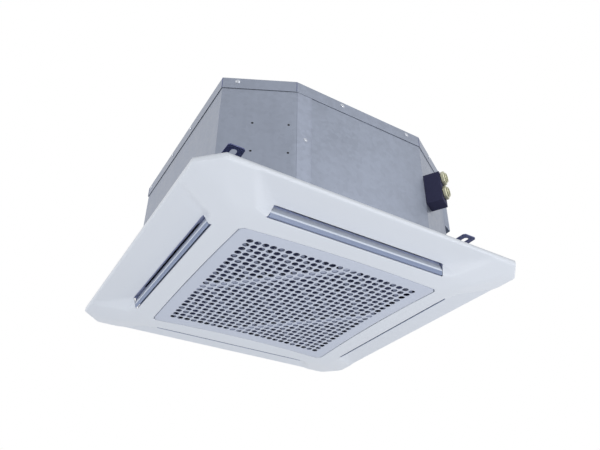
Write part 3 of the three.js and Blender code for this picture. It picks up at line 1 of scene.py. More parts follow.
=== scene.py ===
"""A compact four-way ceiling cassette, hung in the air and seen from below its near left corner.

Lengths are in millimetres until a mesh is made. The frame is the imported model's own, with +Z up and the near
side at -Y.
"""

import json
import math

import bmesh
import bpy
import numpy as np
from mathutils import Matrix


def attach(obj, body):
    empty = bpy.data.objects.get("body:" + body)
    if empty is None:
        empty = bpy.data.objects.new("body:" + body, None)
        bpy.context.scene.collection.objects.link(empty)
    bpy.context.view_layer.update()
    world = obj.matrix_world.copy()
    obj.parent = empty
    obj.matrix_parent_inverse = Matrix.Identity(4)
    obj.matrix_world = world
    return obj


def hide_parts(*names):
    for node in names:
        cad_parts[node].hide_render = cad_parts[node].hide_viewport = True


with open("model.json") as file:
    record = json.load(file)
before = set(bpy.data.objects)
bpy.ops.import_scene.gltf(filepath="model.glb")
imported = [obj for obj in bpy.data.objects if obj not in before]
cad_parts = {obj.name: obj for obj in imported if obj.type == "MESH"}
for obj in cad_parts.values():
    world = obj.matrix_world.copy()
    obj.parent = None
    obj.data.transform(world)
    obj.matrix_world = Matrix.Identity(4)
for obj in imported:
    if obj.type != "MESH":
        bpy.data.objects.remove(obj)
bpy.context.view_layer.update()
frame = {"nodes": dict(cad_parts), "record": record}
nodes = frame["nodes"]
behaviour = frame["record"]["behaviour"]
body_of = {node: body for body, group in behaviour["bodies"].items() for node in group}
UNIT, INTAKE = "unit", "intake"
SIDES = ("right", "far", "left", "near")
QUARTER_TURNS = ((1, 0), (0, 1), (-1, 0), (0, -1))  # cosine and sine of each side's turn from the right side
MM = 0.001


def highest(node):
    """The largest x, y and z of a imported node, to the micrometre."""
    return np.round(np.max([tuple(corner) for corner in nodes[node].bound_box], axis=0) / MM, 3)


def pivot(joint_name):
    """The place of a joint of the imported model."""
    place = next(joint["pos_m"] for joint in behaviour["joints"] if joint["name"] == joint_name)
    return np.round(np.array(place) / MM, 3)


# the panel: reaches are level distances from its middle, heights are over its lowest point
PANEL, _, PANEL_TOP = highest("panel_frame")  # half its side, and the top of what stands behind its face
PANEL_CUT = 41.0  # length that its corners lose along each side
PANEL_WALL = 2.4
CEILING = 34.0  # height of the ceiling, where the rim ends
WELL = 226.7  # half the side of the well that the grille closes
WELL_CUT = 8.0
LIP_IN, LIP_OUT = 271.0, 285.0  # reaches of an outlet's two lips
LIP_HEIGHT, SCOOP = 4.0, 25.0  # heights of the inner and the outer lip
LIP_ROUND = 1.2  # radius of an outlet's edges
SLOT_END = 197.0  # half the length of the air way behind the face
SLOT_LONGER, SLOT_SLANT = 4.0, 8.5  # what the inner lip adds to it, and what the outer lip then loses

# louvres: the axis of the right one, and the wall of a blade
LOUVRE_REACH, _, LOUVRE_HEIGHT = pivot("louvre_right_swing")
LOUVRE_WALL = 1.8

# intake grille
_, HINGE_BACK, HINGE_HEIGHT = pivot("grille_swing")
_, GRILLE, RIM_TOP = highest("intake_grille")  # half its side, and the top of its rim
DISH = 6.0  # height of its middle over its corners
PLATE = 2.6  # thickness of the plate with the holes
HOLES = 24  # rows of holes, and holes in a row
PITCH = 16.5
HOLE = 6.8  # radius of a hole
CELL_STEPS = 5  # points along each edge of a hole's square cell

# casing
CASING = highest("top_cover")[0]  # half its width over the lid's rim
SHELL = highest("casing_shell")[0]  # half its width over the walls
PUMP_FACE = highest("pump_cover")[0]
CUT_LEFT, CUT_RIGHT = -152.5, 168.5  # ends of the near and far walls, left and right
CUT_SIDE = 219.1  # half length of the left and right walls
LID_TOP = 348.0
RIM_SCREWS = 338.0  # height of the screws in the lid's rim


# ---------------------------------------------------------------- meshes

def patch(points, wrap_u=False, wrap_v=False):
    """Quads between neighbours of a grid of points, closed round one or both of its two directions."""
    count_u, count_v = points.shape[:2]
    ids = np.arange(count_u * count_v).reshape(count_u, count_v)
    if wrap_u:
        ids = np.vstack([ids, ids[:1]])
    if wrap_v:
        ids = np.hstack([ids, ids[:, :1]])
    quads = np.stack([ids[:-1, :-1], ids[1:, :-1], ids[1:, 1:], ids[:-1, 1:]], axis=-1)
    return points.reshape(-1, 3), [quads.reshape(-1, 4)]


def together(parts):
    """Several point and face lists as one."""
    points, faces, start = [], [], 0
    for part_points, part_faces in parts:
        points.append(part_points)
        faces += [face + start for face in part_faces]
        start += len(part_points)
    return np.concatenate(points), faces


def prism(outline, low, high):
    """A flat outline of x and y raised from one height to another."""
    outline = np.asarray(outline, float)
    count = len(outline)
    ring = np.arange(count)
    lower = np.column_stack([outline, np.full(count, low)])
    upper = np.column_stack([outline, np.full(count, high)])
    after = np.roll(ring, -1)
    walls = np.column_stack([ring, after, after + count, ring + count])
    return np.vstack([lower, upper]), [walls, ring[None, ::-1], ring[None] + count]


def bar(x0, x1, y0, y1, z0, z1):
    """A block between two corners."""
    return prism([(x0, y0), (x1, y0), (x1, y1), (x0, y1)], z0, z1)


def run(section, half_length):
    """A section of reach and height carried along Y, for the right side of the panel."""
    points, faces = prism(section, -half_length, half_length)
    return np.column_stack([points[:, 0], points[:, 2], points[:, 1]]), faces


def lathe(profile, segments):
    """A profile of radius and height turned round Z: x = r cos a, y = r sin a."""
    profile = np.asarray(profile, float)
    angle = np.linspace(0, 2 * math.pi, segments, endpoint=False)[:, None]
    radius, height = profile[:, 0][None], profile[:, 1][None]
    grid = np.stack([radius * np.cos(angle), radius * np.sin(angle), height + 0 * angle], axis=-1)
    return patch(grid, wrap_u=True)


def rod(radius, low, high, segments=16):
    """A solid cylinder round Z between two heights."""
    return lathe([(0, low), (radius, low), (radius, high), (0, high)], segments)


def turn(side):
    """The matrix that turns flat points of the right side to side 0 right, 1 far, 2 left or 3 near."""
    cos, sin = QUARTER_TURNS[side]
    return np.array([[cos, sin], [-sin, cos]])


def four_ways(points):
    """Flat points of the right side, then the same turned to the far, the left and the near side."""
    return np.vstack([points @ turn(side) for side in range(4)])


def quarter(part, side):
    """A part of the right side turned to another side."""
    points, faces = part
    return np.column_stack([points[:, :2] @ turn(side), points[:, 2]]), faces


def axes_along(direction):
    """Three unit axes: the third along a direction, the first level."""
    z = np.asarray(direction, float)
    z = z / np.linalg.norm(z)
    side = np.cross((0, 0, 1), z) if abs(z[2]) < 0.99 else np.array([1.0, 0, 0])
    x = side / np.linalg.norm(side)
    return np.stack([x, np.cross(z, x), z])


def aimed(part, place, direction):
    """A part made along +Z, turned so that +Z points along a direction and moved to a place."""
    points, faces = part
    return points @ axes_along(direction) + np.asarray(place, float), faces


def closed(mesh):
    """Merges seams and poles and turns every face outwards."""
    work = bmesh.new()
    work.from_mesh(mesh)
    bmesh.ops.remove_doubles(work, verts=work.verts, dist=1e-6)
    bmesh.ops.recalc_face_normals(work, faces=work.faces)
    work.to_mesh(mesh)
    work.free()


def piece(name, part, material, body, sharp=35, shell=False):
    """An object made of points and faces that rides on a body; a shell's faces are left as they are."""
    points, faces = part
    mesh = bpy.data.meshes.new(name)
    mesh.vertices.add(len(points))
    mesh.vertices.foreach_set("co", (points * MM).ravel())
    corners = np.concatenate([face.ravel() for face in faces])
    sizes = np.concatenate([np.full(len(face), face.shape[1]) for face in faces])
    mesh.loops.add(len(corners))
    mesh.loops.foreach_set("vertex_index", corners)
    mesh.polygons.add(len(sizes))
    mesh.polygons.foreach_set("loop_start", np.concatenate([[0], np.cumsum(sizes)[:-1]]))
    mesh.update(calc_edges=True)
    mesh.validate()
    if not shell:
        closed(mesh)
    return shown(name, mesh, material, body, sharp)


def shown(name, mesh, material, body, sharp):
    """Puts a finished mesh into the scene, smooth but for its sharp edges."""
    mesh.materials.clear()
    mesh.materials.append(material)
    mesh.polygons.foreach_set("use_smooth", np.ones(len(mesh.polygons), bool))
    mesh.set_sharp_from_angle(angle=math.radians(sharp))
    obj = bpy.data.objects.new(name, mesh)
    bpy.context.scene.collection.objects.link(obj)
    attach(obj, body)
    return obj


def bevelled(obj, width, angle):
    """Rounds the edges of an object that are sharper than an angle in degrees."""
    bevel = obj.modifiers.new("edge", "BEVEL")
    bevel.width = width * MM
    bevel.segments = 2
    bevel.limit_method = "ANGLE"
    bevel.angle_limit = math.radians(angle)
    return bevel


def dressed(node, material, edge):
    """A node with its edges rounded: a copy of its mesh, merged, without its flat triangulation, bevelled.

    An edge of 0 leaves it without a bevel.
    """
    sharp, flat = 35, 0.5
    mesh = nodes[node].data.copy()
    mesh.name = node + "_surface"
    work = bmesh.new()
    work.from_mesh(mesh)
    bmesh.ops.remove_doubles(work, verts=work.verts, dist=1e-6)
    bmesh.ops.dissolve_limit(work, angle_limit=math.radians(flat), verts=work.verts, edges=work.edges)
    work.to_mesh(mesh)
    work.free()
    obj = shown(node + "_surface", mesh, material, body_of[node], sharp)
    if edge:
        bevelled(obj, edge, sharp).harden_normals = True
    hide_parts(node)


# ---------------------------------------------------------------- finishes

def linear(red, green, blue):
    """A colour given as it looks on screen, 0 to 255, as linear light."""
    value = np.array([red, green, blue]) / 255
    light = np.where(value <= 0.04045, value / 12.92, ((value + 0.055) / 1.055) ** 2.4)
    return (*light, 1.0)


def node_group(name, inputs):
    """A shared effect with its inputs, which puts out a colour, a roughness and a height."""
    tree = bpy.data.node_groups.new(name, "ShaderNodeTree")
    for label, kind, value in inputs:
        socket = tree.interface.new_socket(label, in_out="INPUT", socket_type=kind)
        if value is not None:
            socket.default_value = value
    outputs = (("Color", "NodeSocketColor"), ("Roughness", "NodeSocketFloat"), ("Height", "NodeSocketFloat"))
    for label, kind in outputs:
        tree.interface.new_socket(label, in_out="OUTPUT", socket_type=kind)
    return tree, tree.nodes.new("NodeGroupInput").outputs, tree.nodes.new("NodeGroupOutput").inputs


def fed(tree, socket, value):
    """Gives a socket a number, or links it to another node's output."""
    if isinstance(value, (int, float)):
        socket.default_value = value
    else:
        tree.links.new(value, socket)


def maths(tree, operation, *values):
    """A Math node fed with outputs or numbers."""
    node = tree.nodes.new("ShaderNodeMath")
    node.operation = operation
    for socket, value in zip(node.inputs, values):
        fed(tree, socket, value)
    return node.outputs[0]


def noise(tree, vector, scale, detail):
    """The value of a noise texture."""
    node = tree.nodes.new("ShaderNodeTexNoise")
    node.inputs["Detail"].default_value = detail
    node.inputs["Roughness"].default_value = 0.5
    tree.links.new(vector, node.inputs["Vector"])
    fed(tree, node.inputs["Scale"], scale)
    return node.outputs["Fac"]


def brightened(tree, colour, factor):
    """A colour times a factor."""
    node = tree.nodes.new("ShaderNodeVectorMath")
    node.operation = "SCALE"
    tree.links.new(colour, node.inputs[0])
    tree.links.new(factor, node.inputs["Scale"])
    return node.outputs[0]


def moulded_effect():
    """Soft clouds of tone and a fine grain, as a moulded or cast surface has."""
    tree, given, result = node_group("moulded_surface", [
        ("Vector", "NodeSocketVector", None), ("Color", "NodeSocketColor", (0.8, 0.8, 0.8, 1)),
        ("Cloud Scale", "NodeSocketFloat", 8.0), ("Tone", "NodeSocketFloat", 0.04),
        ("Grain Scale", "NodeSocketFloat", 900.0), ("Roughness", "NodeSocketFloat", 0.45),
        ("Roughness Spread", "NodeSocketFloat", 0.06)])
    cloud = noise(tree, given["Vector"], given["Cloud Scale"], 4)
    grain = noise(tree, given["Vector"], given["Grain Scale"], 2)
    shift = maths(tree, "SUBTRACT", cloud, 0.5)
    tone = maths(tree, "MULTIPLY_ADD", shift, given["Tone"], 1.0)
    fine = maths(tree, "MULTIPLY_ADD", maths(tree, "SUBTRACT", grain, 0.5), given["Tone"], tone)
    tree.links.new(brightened(tree, given["Color"], fine), result["Color"])
    rough = maths(tree, "MULTIPLY_ADD", shift, given["Roughness Spread"], given["Roughness"])
    tree.links.new(rough, result["Roughness"])
    tree.links.new(grain, result["Height"])
    return tree


def spangle_effect():
    """Zinc crystals: cells of random tone, clouds over many cells and faint streaks down the sheet."""
    tree, given, result = node_group("zinc_spangle", [
        ("Vector", "NodeSocketVector", None), ("Color", "NodeSocketColor", (0.5, 0.5, 0.5, 1)),
        ("Cell Scale", "NodeSocketFloat", 120.0), ("Contrast", "NodeSocketFloat", 0.16),
        ("Cloud", "NodeSocketFloat", 0.18), ("Roughness", "NodeSocketFloat", 0.42)])
    cells = tree.nodes.new("ShaderNodeTexVoronoi")
    tree.links.new(given["Vector"], cells.inputs["Vector"])
    tree.links.new(given["Cell Scale"], cells.inputs["Scale"])
    split = tree.nodes.new("ShaderNodeSeparateColor")
    tree.links.new(cells.outputs["Color"], split.inputs["Color"])
    cell = maths(tree, "SUBTRACT", split.outputs["Red"], 0.5)
    cloud = maths(tree, "SUBTRACT", noise(tree, given["Vector"], 9.0, 4), 0.5)
    stretch = tree.nodes.new("ShaderNodeMapping")
    stretch.inputs["Scale"].default_value = (1, 1, 0.12)
    tree.links.new(given["Vector"], stretch.inputs["Vector"])
    streak = maths(tree, "SUBTRACT", noise(tree, stretch.outputs["Vector"], 60.0, 3), 0.5)
    tone = maths(tree, "MULTIPLY_ADD", cell, given["Contrast"], 1.0)
    tone = maths(tree, "MULTIPLY_ADD", cloud, given["Cloud"], tone)
    tone = maths(tree, "MULTIPLY_ADD", streak, maths(tree, "MULTIPLY", given["Cloud"], 0.6), tone)
    tree.links.new(brightened(tree, given["Color"], tone), result["Color"])
    rough = maths(tree, "MULTIPLY_ADD", cell, 0.12, given["Roughness"])
    rough = maths(tree, "MULTIPLY_ADD", cloud, 0.2, rough)
    tree.links.new(rough, result["Roughness"])
    tree.links.new(cells.outputs["Distance"], result["Height"])
    return tree


MOULDED = moulded_effect()
SPANGLE = spangle_effect()


def base_material(name, effect, values, metallic, bump, specular):
    """A material whose colour, roughness and relief come from a shared effect in object coordinates."""
    material = bpy.data.materials.new(name)
    material.use_nodes = True
    tree = material.node_tree
    shader = tree.nodes["Principled BSDF"]
    shader.inputs["Metallic"].default_value = metallic
    shader.inputs["Specular IOR Level"].default_value = specular
    where = tree.nodes.new("ShaderNodeTexCoord")
    surface = tree.nodes.new("ShaderNodeGroup")
    surface.node_tree = effect
    tree.links.new(where.outputs["Object"], surface.inputs["Vector"])
    for label, value in values.items():
        surface.inputs[label].default_value = value
    tree.links.new(surface.outputs["Color"], shader.inputs["Base Color"])
    tree.links.new(surface.outputs["Roughness"], shader.inputs["Roughness"])
    relief = tree.nodes.new("ShaderNodeBump")
    relief.inputs["Strength"].default_value = bump
    relief.inputs["Distance"].default_value = 0.0002
    tree.links.new(surface.outputs["Height"], relief.inputs["Height"])
    tree.links.new(relief.outputs["Normal"], shader.inputs["Normal"])
    return material


def moulded(name, screen_colour, roughness=0.45, tone=0.04, grain=900.0, bump=0.1, metallic=0.0, cloud=8.0):
    """Plastic, foam, rubber or a smooth metal."""
    values = {"Color": linear(*screen_colour), "Roughness": roughness, "Tone": tone, "Grain Scale": grain,
              "Cloud Scale": cloud}
    return base_material(name, MOULDED, values, metallic, bump, 0.4)


def sheet_metal(name, screen_colour, roughness=0.42, contrast=0.16, cell=120.0, cloud=0.18, metallic=0.65):
    """Zinc-coated steel."""
    values = {"Color": linear(*screen_colour), "Roughness": roughness, "Contrast": contrast,
              "Cell Scale": cell, "Cloud": cloud}
    return base_material(name, SPANGLE, values, metallic, 0.05, 0.5)


white_plastic = moulded("panel_plastic", (222, 226, 233), roughness=0.42, tone=0.02)
# darker and bluer than the panel: partly the grille's own tone, partly painted shade for lying deeper in the
# well
grille_plastic = moulded("grille_plastic", (199, 205, 219), roughness=0.45, tone=0.02)
# painted shade: the ribs and straps behind the holes are the grille's plastic, darkened for the shade they lie
# in
rib_plastic_painted_shade = moulded("rib_plastic_painted_shade", (118, 124, 144), roughness=0.6, tone=0.08)
strap_plastic_painted_shade = moulded("strap_plastic_painted_shade", (166, 172, 190), roughness=0.6, tone=0.05)
duct_plastic = moulded("duct_plastic", (176, 184, 214), roughness=0.6, tone=0.05)
grey_plastic = moulded("grey_plastic", (108, 112, 120), roughness=0.55, tone=0.05)
fan_plastic = moulded("fan_plastic", (52, 55, 62), roughness=0.5, tone=0.06)
rubber = moulded("black_rubber", (40, 41, 46), roughness=0.8, tone=0.1)
white_foam = moulded("polystyrene_foam", (232, 232, 226), roughness=0.85, tone=0.08, grain=260.0, bump=0.5)
black_foam = moulded("pipe_foam", (46, 47, 76), roughness=0.9, tone=0.3, grain=500.0, bump=0.6, cloud=30.0)
copper = moulded("copper_tube", (176, 112, 80), roughness=0.32, tone=0.12, metallic=0.9, cloud=25.0)
brass = moulded("union_brass", (190, 189, 164), roughness=0.35, tone=0.08, metallic=0.6, cloud=40.0)
galvanised = sheet_metal("galvanised_sheet", (145, 152, 167), contrast=0.08, cloud=0.16)
seam_steel = sheet_metal("seam_sheet", (150, 157, 173), contrast=0.08, cloud=0.16, roughness=0.4)
box_steel = sheet_metal("control_box_sheet", (165, 172, 182), roughness=0.4)
zinc = sheet_metal("zinc_plate", (186, 189, 194), contrast=0.05, cell=400.0, roughness=0.32, metallic=0.85)
screw_steel = sheet_metal("screw_steel", (196, 200, 208), contrast=0.05, cell=500.0, roughness=0.25,
                          metallic=0.9)
hanger_steel = sheet_metal("hanger_steel", (96, 101, 140), contrast=0.35, cell=500.0, roughness=0.3,
                           cloud=0.5, metallic=0.7)


def opened(material):
    """A material's tree, its effect's colour, its place by axis and the socket for its base colour."""
    tree = material.node_tree
    surface = next(n for n in tree.nodes if n.type == "GROUP")
    where = next(n for n in tree.nodes if n.type == "TEX_COORD")
    split = tree.nodes.new("ShaderNodeSeparateXYZ")
    tree.links.new(where.outputs["Object"], split.inputs["Vector"])
    return tree, surface.outputs["Color"], split.outputs, tree.nodes["Principled BSDF"].inputs["Base Color"]


def fin_material():
    """Aluminium with a line of painted shade between fins, 900 of them round the coil: tone 0.78 + 0.22
    sin(900 a).
    """
    material = moulded("aluminium_fins", (176, 181, 188), roughness=0.4, tone=0.06, metallic=0.7)
    tree, colour, place, base_colour = opened(material)
    angle = maths(tree, "ARCTAN2", place["Y"], place["X"])
    wave = maths(tree, "SINE", maths(tree, "MULTIPLY", angle, 900.0))
    shade = maths(tree, "MULTIPLY_ADD", wave, 0.22, 0.78)
    tree.links.new(brightened(tree, colour, shade), base_colour)
    return material


def net_material():
    """The filter: a fine dark net, whose threads are light bands 2.2 mm apart both ways."""
    material = moulded("filter_net", (62, 68, 104), roughness=0.75, tone=0.1)
    tree, colour, place, base_colour = opened(material)
    thread_pitch = 0.0022
    threads = []
    for axis in ("X", "Y"):
        wave = maths(tree, "SINE", maths(tree, "MULTIPLY", place[axis], 2 * math.pi / thread_pitch))
        threads.append(maths(tree, "MULTIPLY_ADD", wave, 0.5, 0.5))
    weave = maths(tree, "MAXIMUM", *threads)
    shade = maths(tree, "MULTIPLY_ADD", weave, 0.5, 0.6)
    tree.links.new(brightened(tree, colour, shade), base_colour)
    return material


def louvre_material():
    """Pale plastic with light and shade painted by height: painted shade below the keel, a painted highlight
    on it, lighter painted shade above.
    """
    material = moulded("louvre_plastic", (236, 242, 252), roughness=0.3, tone=0.03)
    tree, colour, place, base_colour = opened(material)
    low, span = 0.003, 0.030
    height = maths(tree, "MULTIPLY_ADD", place["Z"], 1 / span, -low / span)
    # painted light: bluish painted shade low on the blade, a band of painted highlight along the keel, painted
    # shade above it
    ramp = tree.nodes.new("ShaderNodeValToRGB")
    tree.links.new(height, ramp.inputs["Fac"])
    first, last = ramp.color_ramp.elements
    first.position, first.color = 0.3, (0.3, 0.34, 0.45, 1)
    last.position, last.color = 0.97, (0.78, 0.82, 0.95, 1)
    for share, tone in ((0.335, 1.0), (0.42, 1.0), (0.47, 0.62), (0.7, 0.72)):
        ramp.color_ramp.elements.new(share).color = (tone, tone, tone, 1)
    shade = tree.nodes.new("ShaderNodeMix")
    shade.data_type = "RGBA"
    shade.blend_type = "MULTIPLY"
    shade.inputs["Factor"].default_value = 1.0
    tree.links.new(colour, shade.inputs["A"])
    tree.links.new(ramp.outputs["Color"], shade.inputs["B"])
    tree.links.new(shade.outputs["Result"], base_colour)
    return material


fins = fin_material()
net = net_material()
louvre_plastic = louvre_material()


# ---------------------------------------------------------------- panel

def softer(first, second, blend, sign=1):
    """Smooth maximum, or minimum with sign -1: the larger value, rounded over within a blend width."""
    first, second = sign * first, sign * second
    share = np.clip(0.5 + 0.5 * (first - second) / blend, 0, 1)
    return sign * (second + (first - second) * share + blend * share * (1 - share))


def dish(x, y):
    """Height of the grille and its surround over the corners: DISH (1 - u^2 v^2), u and v from 0 to 1."""
    u = np.minimum(1, np.abs(x) / GRILLE)
    v = np.minimum(1, np.abs(y) / GRILLE)
    return DISH * (1 - u * u * v * v)


def slot_end(out):
    """Half length of an outlet at a distance from the centre: its ends slant, longer at the inner lip."""
    return SLOT_END + SLOT_LONGER - SLOT_SLANT * np.clip((out - LIP_IN) / (LIP_OUT - LIP_IN), 0, 1)


def panel_height(x, y):
    """Height of the underside: a plateau round the well, slopes to the rim, and a flared scoop on each side.

    Plateau and slope are straight lines of a reach, the largest of |x|, |y| and a share of |x| + |y| that is
    as high along the cut corner as the sides are at the rim. A scoop is flat outside the outer lip. Its side
    walls fall 1 for every scoop_side sideways from an edge that widens by scoop_flare for every 1 outwards.
    """
    side_round, corner_round, corner_share = 16, 10, 0.85
    plateau_round, rim_slope = 1.2, 0.2184
    scoop_side, scoop_flare, scoop_round, lip_blend = 1.6, 0.94, 8, 3.0
    ax, ay = np.abs(x), np.abs(y)
    corner = PANEL + corner_share * (ax + ay - 2 * PANEL + PANEL_CUT)
    reach = softer(softer(ax, ay, side_round), corner, corner_round)
    plateau = LIP_HEIGHT + (reach - LIP_IN) * (LIP_HEIGHT - dish(x, y)) / (LIP_IN - WELL)
    slope = LIP_HEIGHT + (reach - LIP_IN) * rim_slope
    height = softer(plateau, slope, plateau_round)
    for out, across in ((ax, ay), (ay, ax)):
        half = SLOT_END + (out - LIP_OUT) * scoop_flare
        wall = SCOOP - (across - half) / scoop_side
        floor = softer(wall, np.full_like(wall, SCOOP), scoop_round, -1)
        inward = np.maximum(0, LIP_OUT - out) / (LIP_OUT - LIP_IN)
        height = softer(height, floor - (SCOOP - LIP_HEIGHT) * inward, lip_blend)
        beside = np.maximum(0, across - slot_end(out))
        below = np.maximum(np.maximum(LIP_IN - out, out - LIP_OUT), 0)
        curl = np.clip(LIP_ROUND - np.hypot(beside, below), 0, LIP_ROUND)
        height = height + LIP_ROUND - np.sqrt(LIP_ROUND ** 2 - curl ** 2)
    return height


def side_stations():
    """Places along half a side where the skin has points: 4 mm apart, and closer by the end of an outlet."""
    by_the_end = SLOT_END + np.array([-9, -5.5, -1.4, -0.6, 0, 0.3, 0.7, 1.2, 2.2, 4])
    return np.concatenate([np.arange(0, SLOT_END - 12, 4.0), by_the_end,
                           np.arange(SLOT_END + 7, SLOT_END + 20, 3.0)])


def panel_ring(reach, cut):
    """Points round the panel at one reach: stations along each side, then a corner cut off at 45 degrees.

    The stations follow the slant of the outlet's ends there, less so further along the side and further out.
    """
    stations = side_stations()
    first, last, rise, fall, fade = SLOT_END - 13, SLOT_END + 16, 11, 12, 20
    slant = (SLOT_END - slot_end(reach)) * np.clip((LIP_OUT + fade - reach) / fade, 0, 1)
    near_end = np.clip((stations - first) / rise, 0, 1) * np.clip((last - stations) / fall, 0, 1)
    stations = stations - slant * near_end
    flat = reach - cut
    stretch = stations[-1] + (flat - stations[-1]) * np.linspace(0, 1, 20)[1:]
    half = np.concatenate([stations, stretch])
    along = np.concatenate([-half[:0:-1], half])
    share = np.linspace(0, 1, 10)[1:-1, None]
    corner = np.array([[reach, flat]]) * (1 - share) + np.array([[flat, reach]]) * share
    return four_ways(np.vstack([np.column_stack([np.full(len(along), reach), along]), corner]))


def panel_skin():
    """The visible face of the panel: rings of points from the well's wall out over the rim and up it."""
    reaches = np.concatenate([
        WELL + np.array([0, 0, 0.3, 1.2]), np.arange(WELL + 4.3, LIP_IN - 2, 3.2),
        LIP_IN + np.array([-1.2, -0.7, -0.3, 0, 2, 5, 8, 11]),
        LIP_OUT + np.array([-1.4, -0.9, -0.4, 0, 0.3, 0.7, 1.2, 2.2]),
        np.arange(LIP_OUT + 4, PANEL - 4, 2.5), PANEL - np.array([2.8, 1.5, 0.5, 0, 0, 0])])
    lifts = np.zeros(len(reaches))
    lifts[:3] = (4.5, 1.2, 0.35)  # the well's wall and its round edge
    cut_start = LIP_OUT + 3
    rows, levels = [], []
    for reach, lift in zip(reaches, lifts):
        share = np.clip((reach - cut_start) / (PANEL - cut_start), 0, 1) ** 1.3
        ring = panel_ring(reach, WELL_CUT + (PANEL_CUT - WELL_CUT) * share)
        rows.append(ring)
        levels.append(panel_height(ring[:, 0], ring[:, 1]) + lift)
    levels = np.array(levels)
    rim = levels[-6]  # from here the rim's edge rounds up to a wall that ends at the ceiling
    levels[-5] += 0.35
    levels[-4] += 1.1
    levels[-3] = rim + 2.8
    levels[-2] = np.maximum(rim + 3.8, CEILING - 4.5)
    levels[-1] = CEILING
    points, (quads,) = patch(np.dstack([np.array(rows), levels]), wrap_v=True)
    centre = points[quads].mean(axis=1)
    ax, ay = np.abs(centre[:, 0]), np.abs(centre[:, 1])
    in_slot = np.zeros(len(quads), bool)
    for out, across in ((ax, ay), (ay, ax)):
        in_slot |= (out > LIP_IN) & (out < LIP_OUT) & (across < slot_end(out))
    return points, [quads[~in_slot]]


def air_way(wall, top, collar_in, collar_out):
    """Walls of the right side's air way: sloping inner wall, outer wall, roof, ends and a shorter collar.

    An end wall starts higher beyond the step, so that it stays behind the flared face.
    """
    half_collar, roof, lip_top, face_top = 148.0, 36.0, 6.2, 27.2
    step, end_low, end_high = LIP_OUT - 6.5, 17, 28.5
    parts = [
        run([(LIP_IN, lip_top), (LIP_IN, lip_top + 2.4), (collar_in, roof), (collar_in - wall, roof),
             (LIP_IN - wall, lip_top)], SLOT_END),
        bar(LIP_OUT, LIP_OUT + wall, -SLOT_END, SLOT_END, face_top, roof - 1),
        bar(collar_out, LIP_OUT + wall, -SLOT_END, SLOT_END, roof - 1, roof + wall - 1),
        bar(collar_in - wall, collar_in, -half_collar, half_collar, roof - 1, top),
        bar(collar_out, collar_out + wall, -half_collar, half_collar, roof - 1, top)]
    for sign in (-1, 1):
        y0, y1 = sorted((sign * SLOT_END, sign * (SLOT_END + wall)))
        parts.append(bar(collar_in, step, y0, y1, end_low, roof + wall - 1))
        parts.append(bar(step, LIP_OUT + wall, y0, y1, end_high, roof + wall - 1))
        y0, y1 = sorted((sign * half_collar, sign * SLOT_END))
        parts.append(bar(collar_in, collar_out, y0, y1, roof, roof + wall - 1))
        y0, y1 = sorted((sign * half_collar, sign * (half_collar + wall)))
        parts.append(bar(collar_in - wall, collar_out + wall, y0, y1, roof + 1, top))
    return parts


def panel_back():
    """What stands behind the face: the well's wall and land, four air ways, ribs and corner tabs."""
    wall, top, well_low = 2.6, PANEL_TOP, 7.5
    collar_in, collar_out = 242.0, 274.5
    tab, rib_along, half_rib, rib_low = 26, 100, 1, 27.6
    side_parts = [
        bar(WELL, WELL + wall, -WELL - wall, WELL + wall, well_low, top),
        bar(WELL, collar_in, -collar_in, collar_in, top - wall, top),
        *air_way(wall, top, collar_in, collar_out)]
    for along in (-rib_along, rib_along):
        y0, y1 = along - half_rib, along + half_rib
        side_parts.append(bar(LIP_OUT + 3, PANEL - 3, y0, y1, rib_low, CEILING - 1))
    side_parts.append(bar(WELL - tab, WELL + 1, WELL - tab, WELL + 1, top - wall, top))
    return together([quarter(part, side) for side in range(4) for part in side_parts])


skin = piece("panel_face", panel_skin(), white_plastic, UNIT, sharp=50, shell=True)
if sum(face.normal.z * face.area for face in skin.data.polygons) > 0:
    skin.data.flip_normals()
thickness = skin.modifiers.new("wall", "SOLIDIFY")
thickness.thickness = PANEL_WALL * MM
thickness.offset = -1
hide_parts("panel_frame")
piece("panel_back", panel_back(), duct_plastic, UNIT)


# ---------------------------------------------------------------- louvres

def smooth_curve(knots, count):
    """A curve through points: a Catmull-Rom spline with its ends carried straight on."""
    knots = np.asarray(knots, float)
    padded = np.vstack([2 * knots[0] - knots[1], knots, 2 * knots[-1] - knots[-2]])
    place = np.linspace(0, len(knots) - 1 - 1e-9, count)
    index = place.astype(int)
    share = (place - index)[:, None]
    a, b, c, d = (padded[index + k] for k in range(4))
    return 0.5 * (2 * b + (c - a) * share + (2 * a - 5 * b + 4 * c - d) * share ** 2
                  + (3 * b - a - 3 * c + d) * share ** 3)


def louvre_blade():
    """A curved blade: an outer curve with a keel, an inner curve a wall behind it and round edges.

    It narrows upwards, so that its ends clear the slanting ends of the outlet all the way through its swing.
    """
    outer = smooth_curve([(3.0, -6), (4.3, -2.1), (5.3, 3), (4.3, 11), (2.2, 20)], 22)
    inner = outer[::-1] - (LOUVRE_WALL, 0)
    bottom, top = outer[0], outer[-1]
    outside, inside, round_end = -0.4, 0.4 - LOUVRE_WALL, 0.35
    section = np.vstack([outer, top + (outside, round_end), top + (inside, round_end),
                         inner, bottom + (inside, -round_end), bottom + (outside, -round_end)])
    points, faces = run(section + (LOUVRE_REACH, LOUVRE_HEIGHT), 1)
    heights = (5.5, 8, 9, 12, 14, 20, 26)  # the half lengths below are the blade's at these heights
    half_lengths = (197.2, 196.5, 196.0, 196.0, 195.7, 194.5, 193.6)
    points[:, 1] *= np.interp(points[:, 2], heights, half_lengths)
    return points, faces


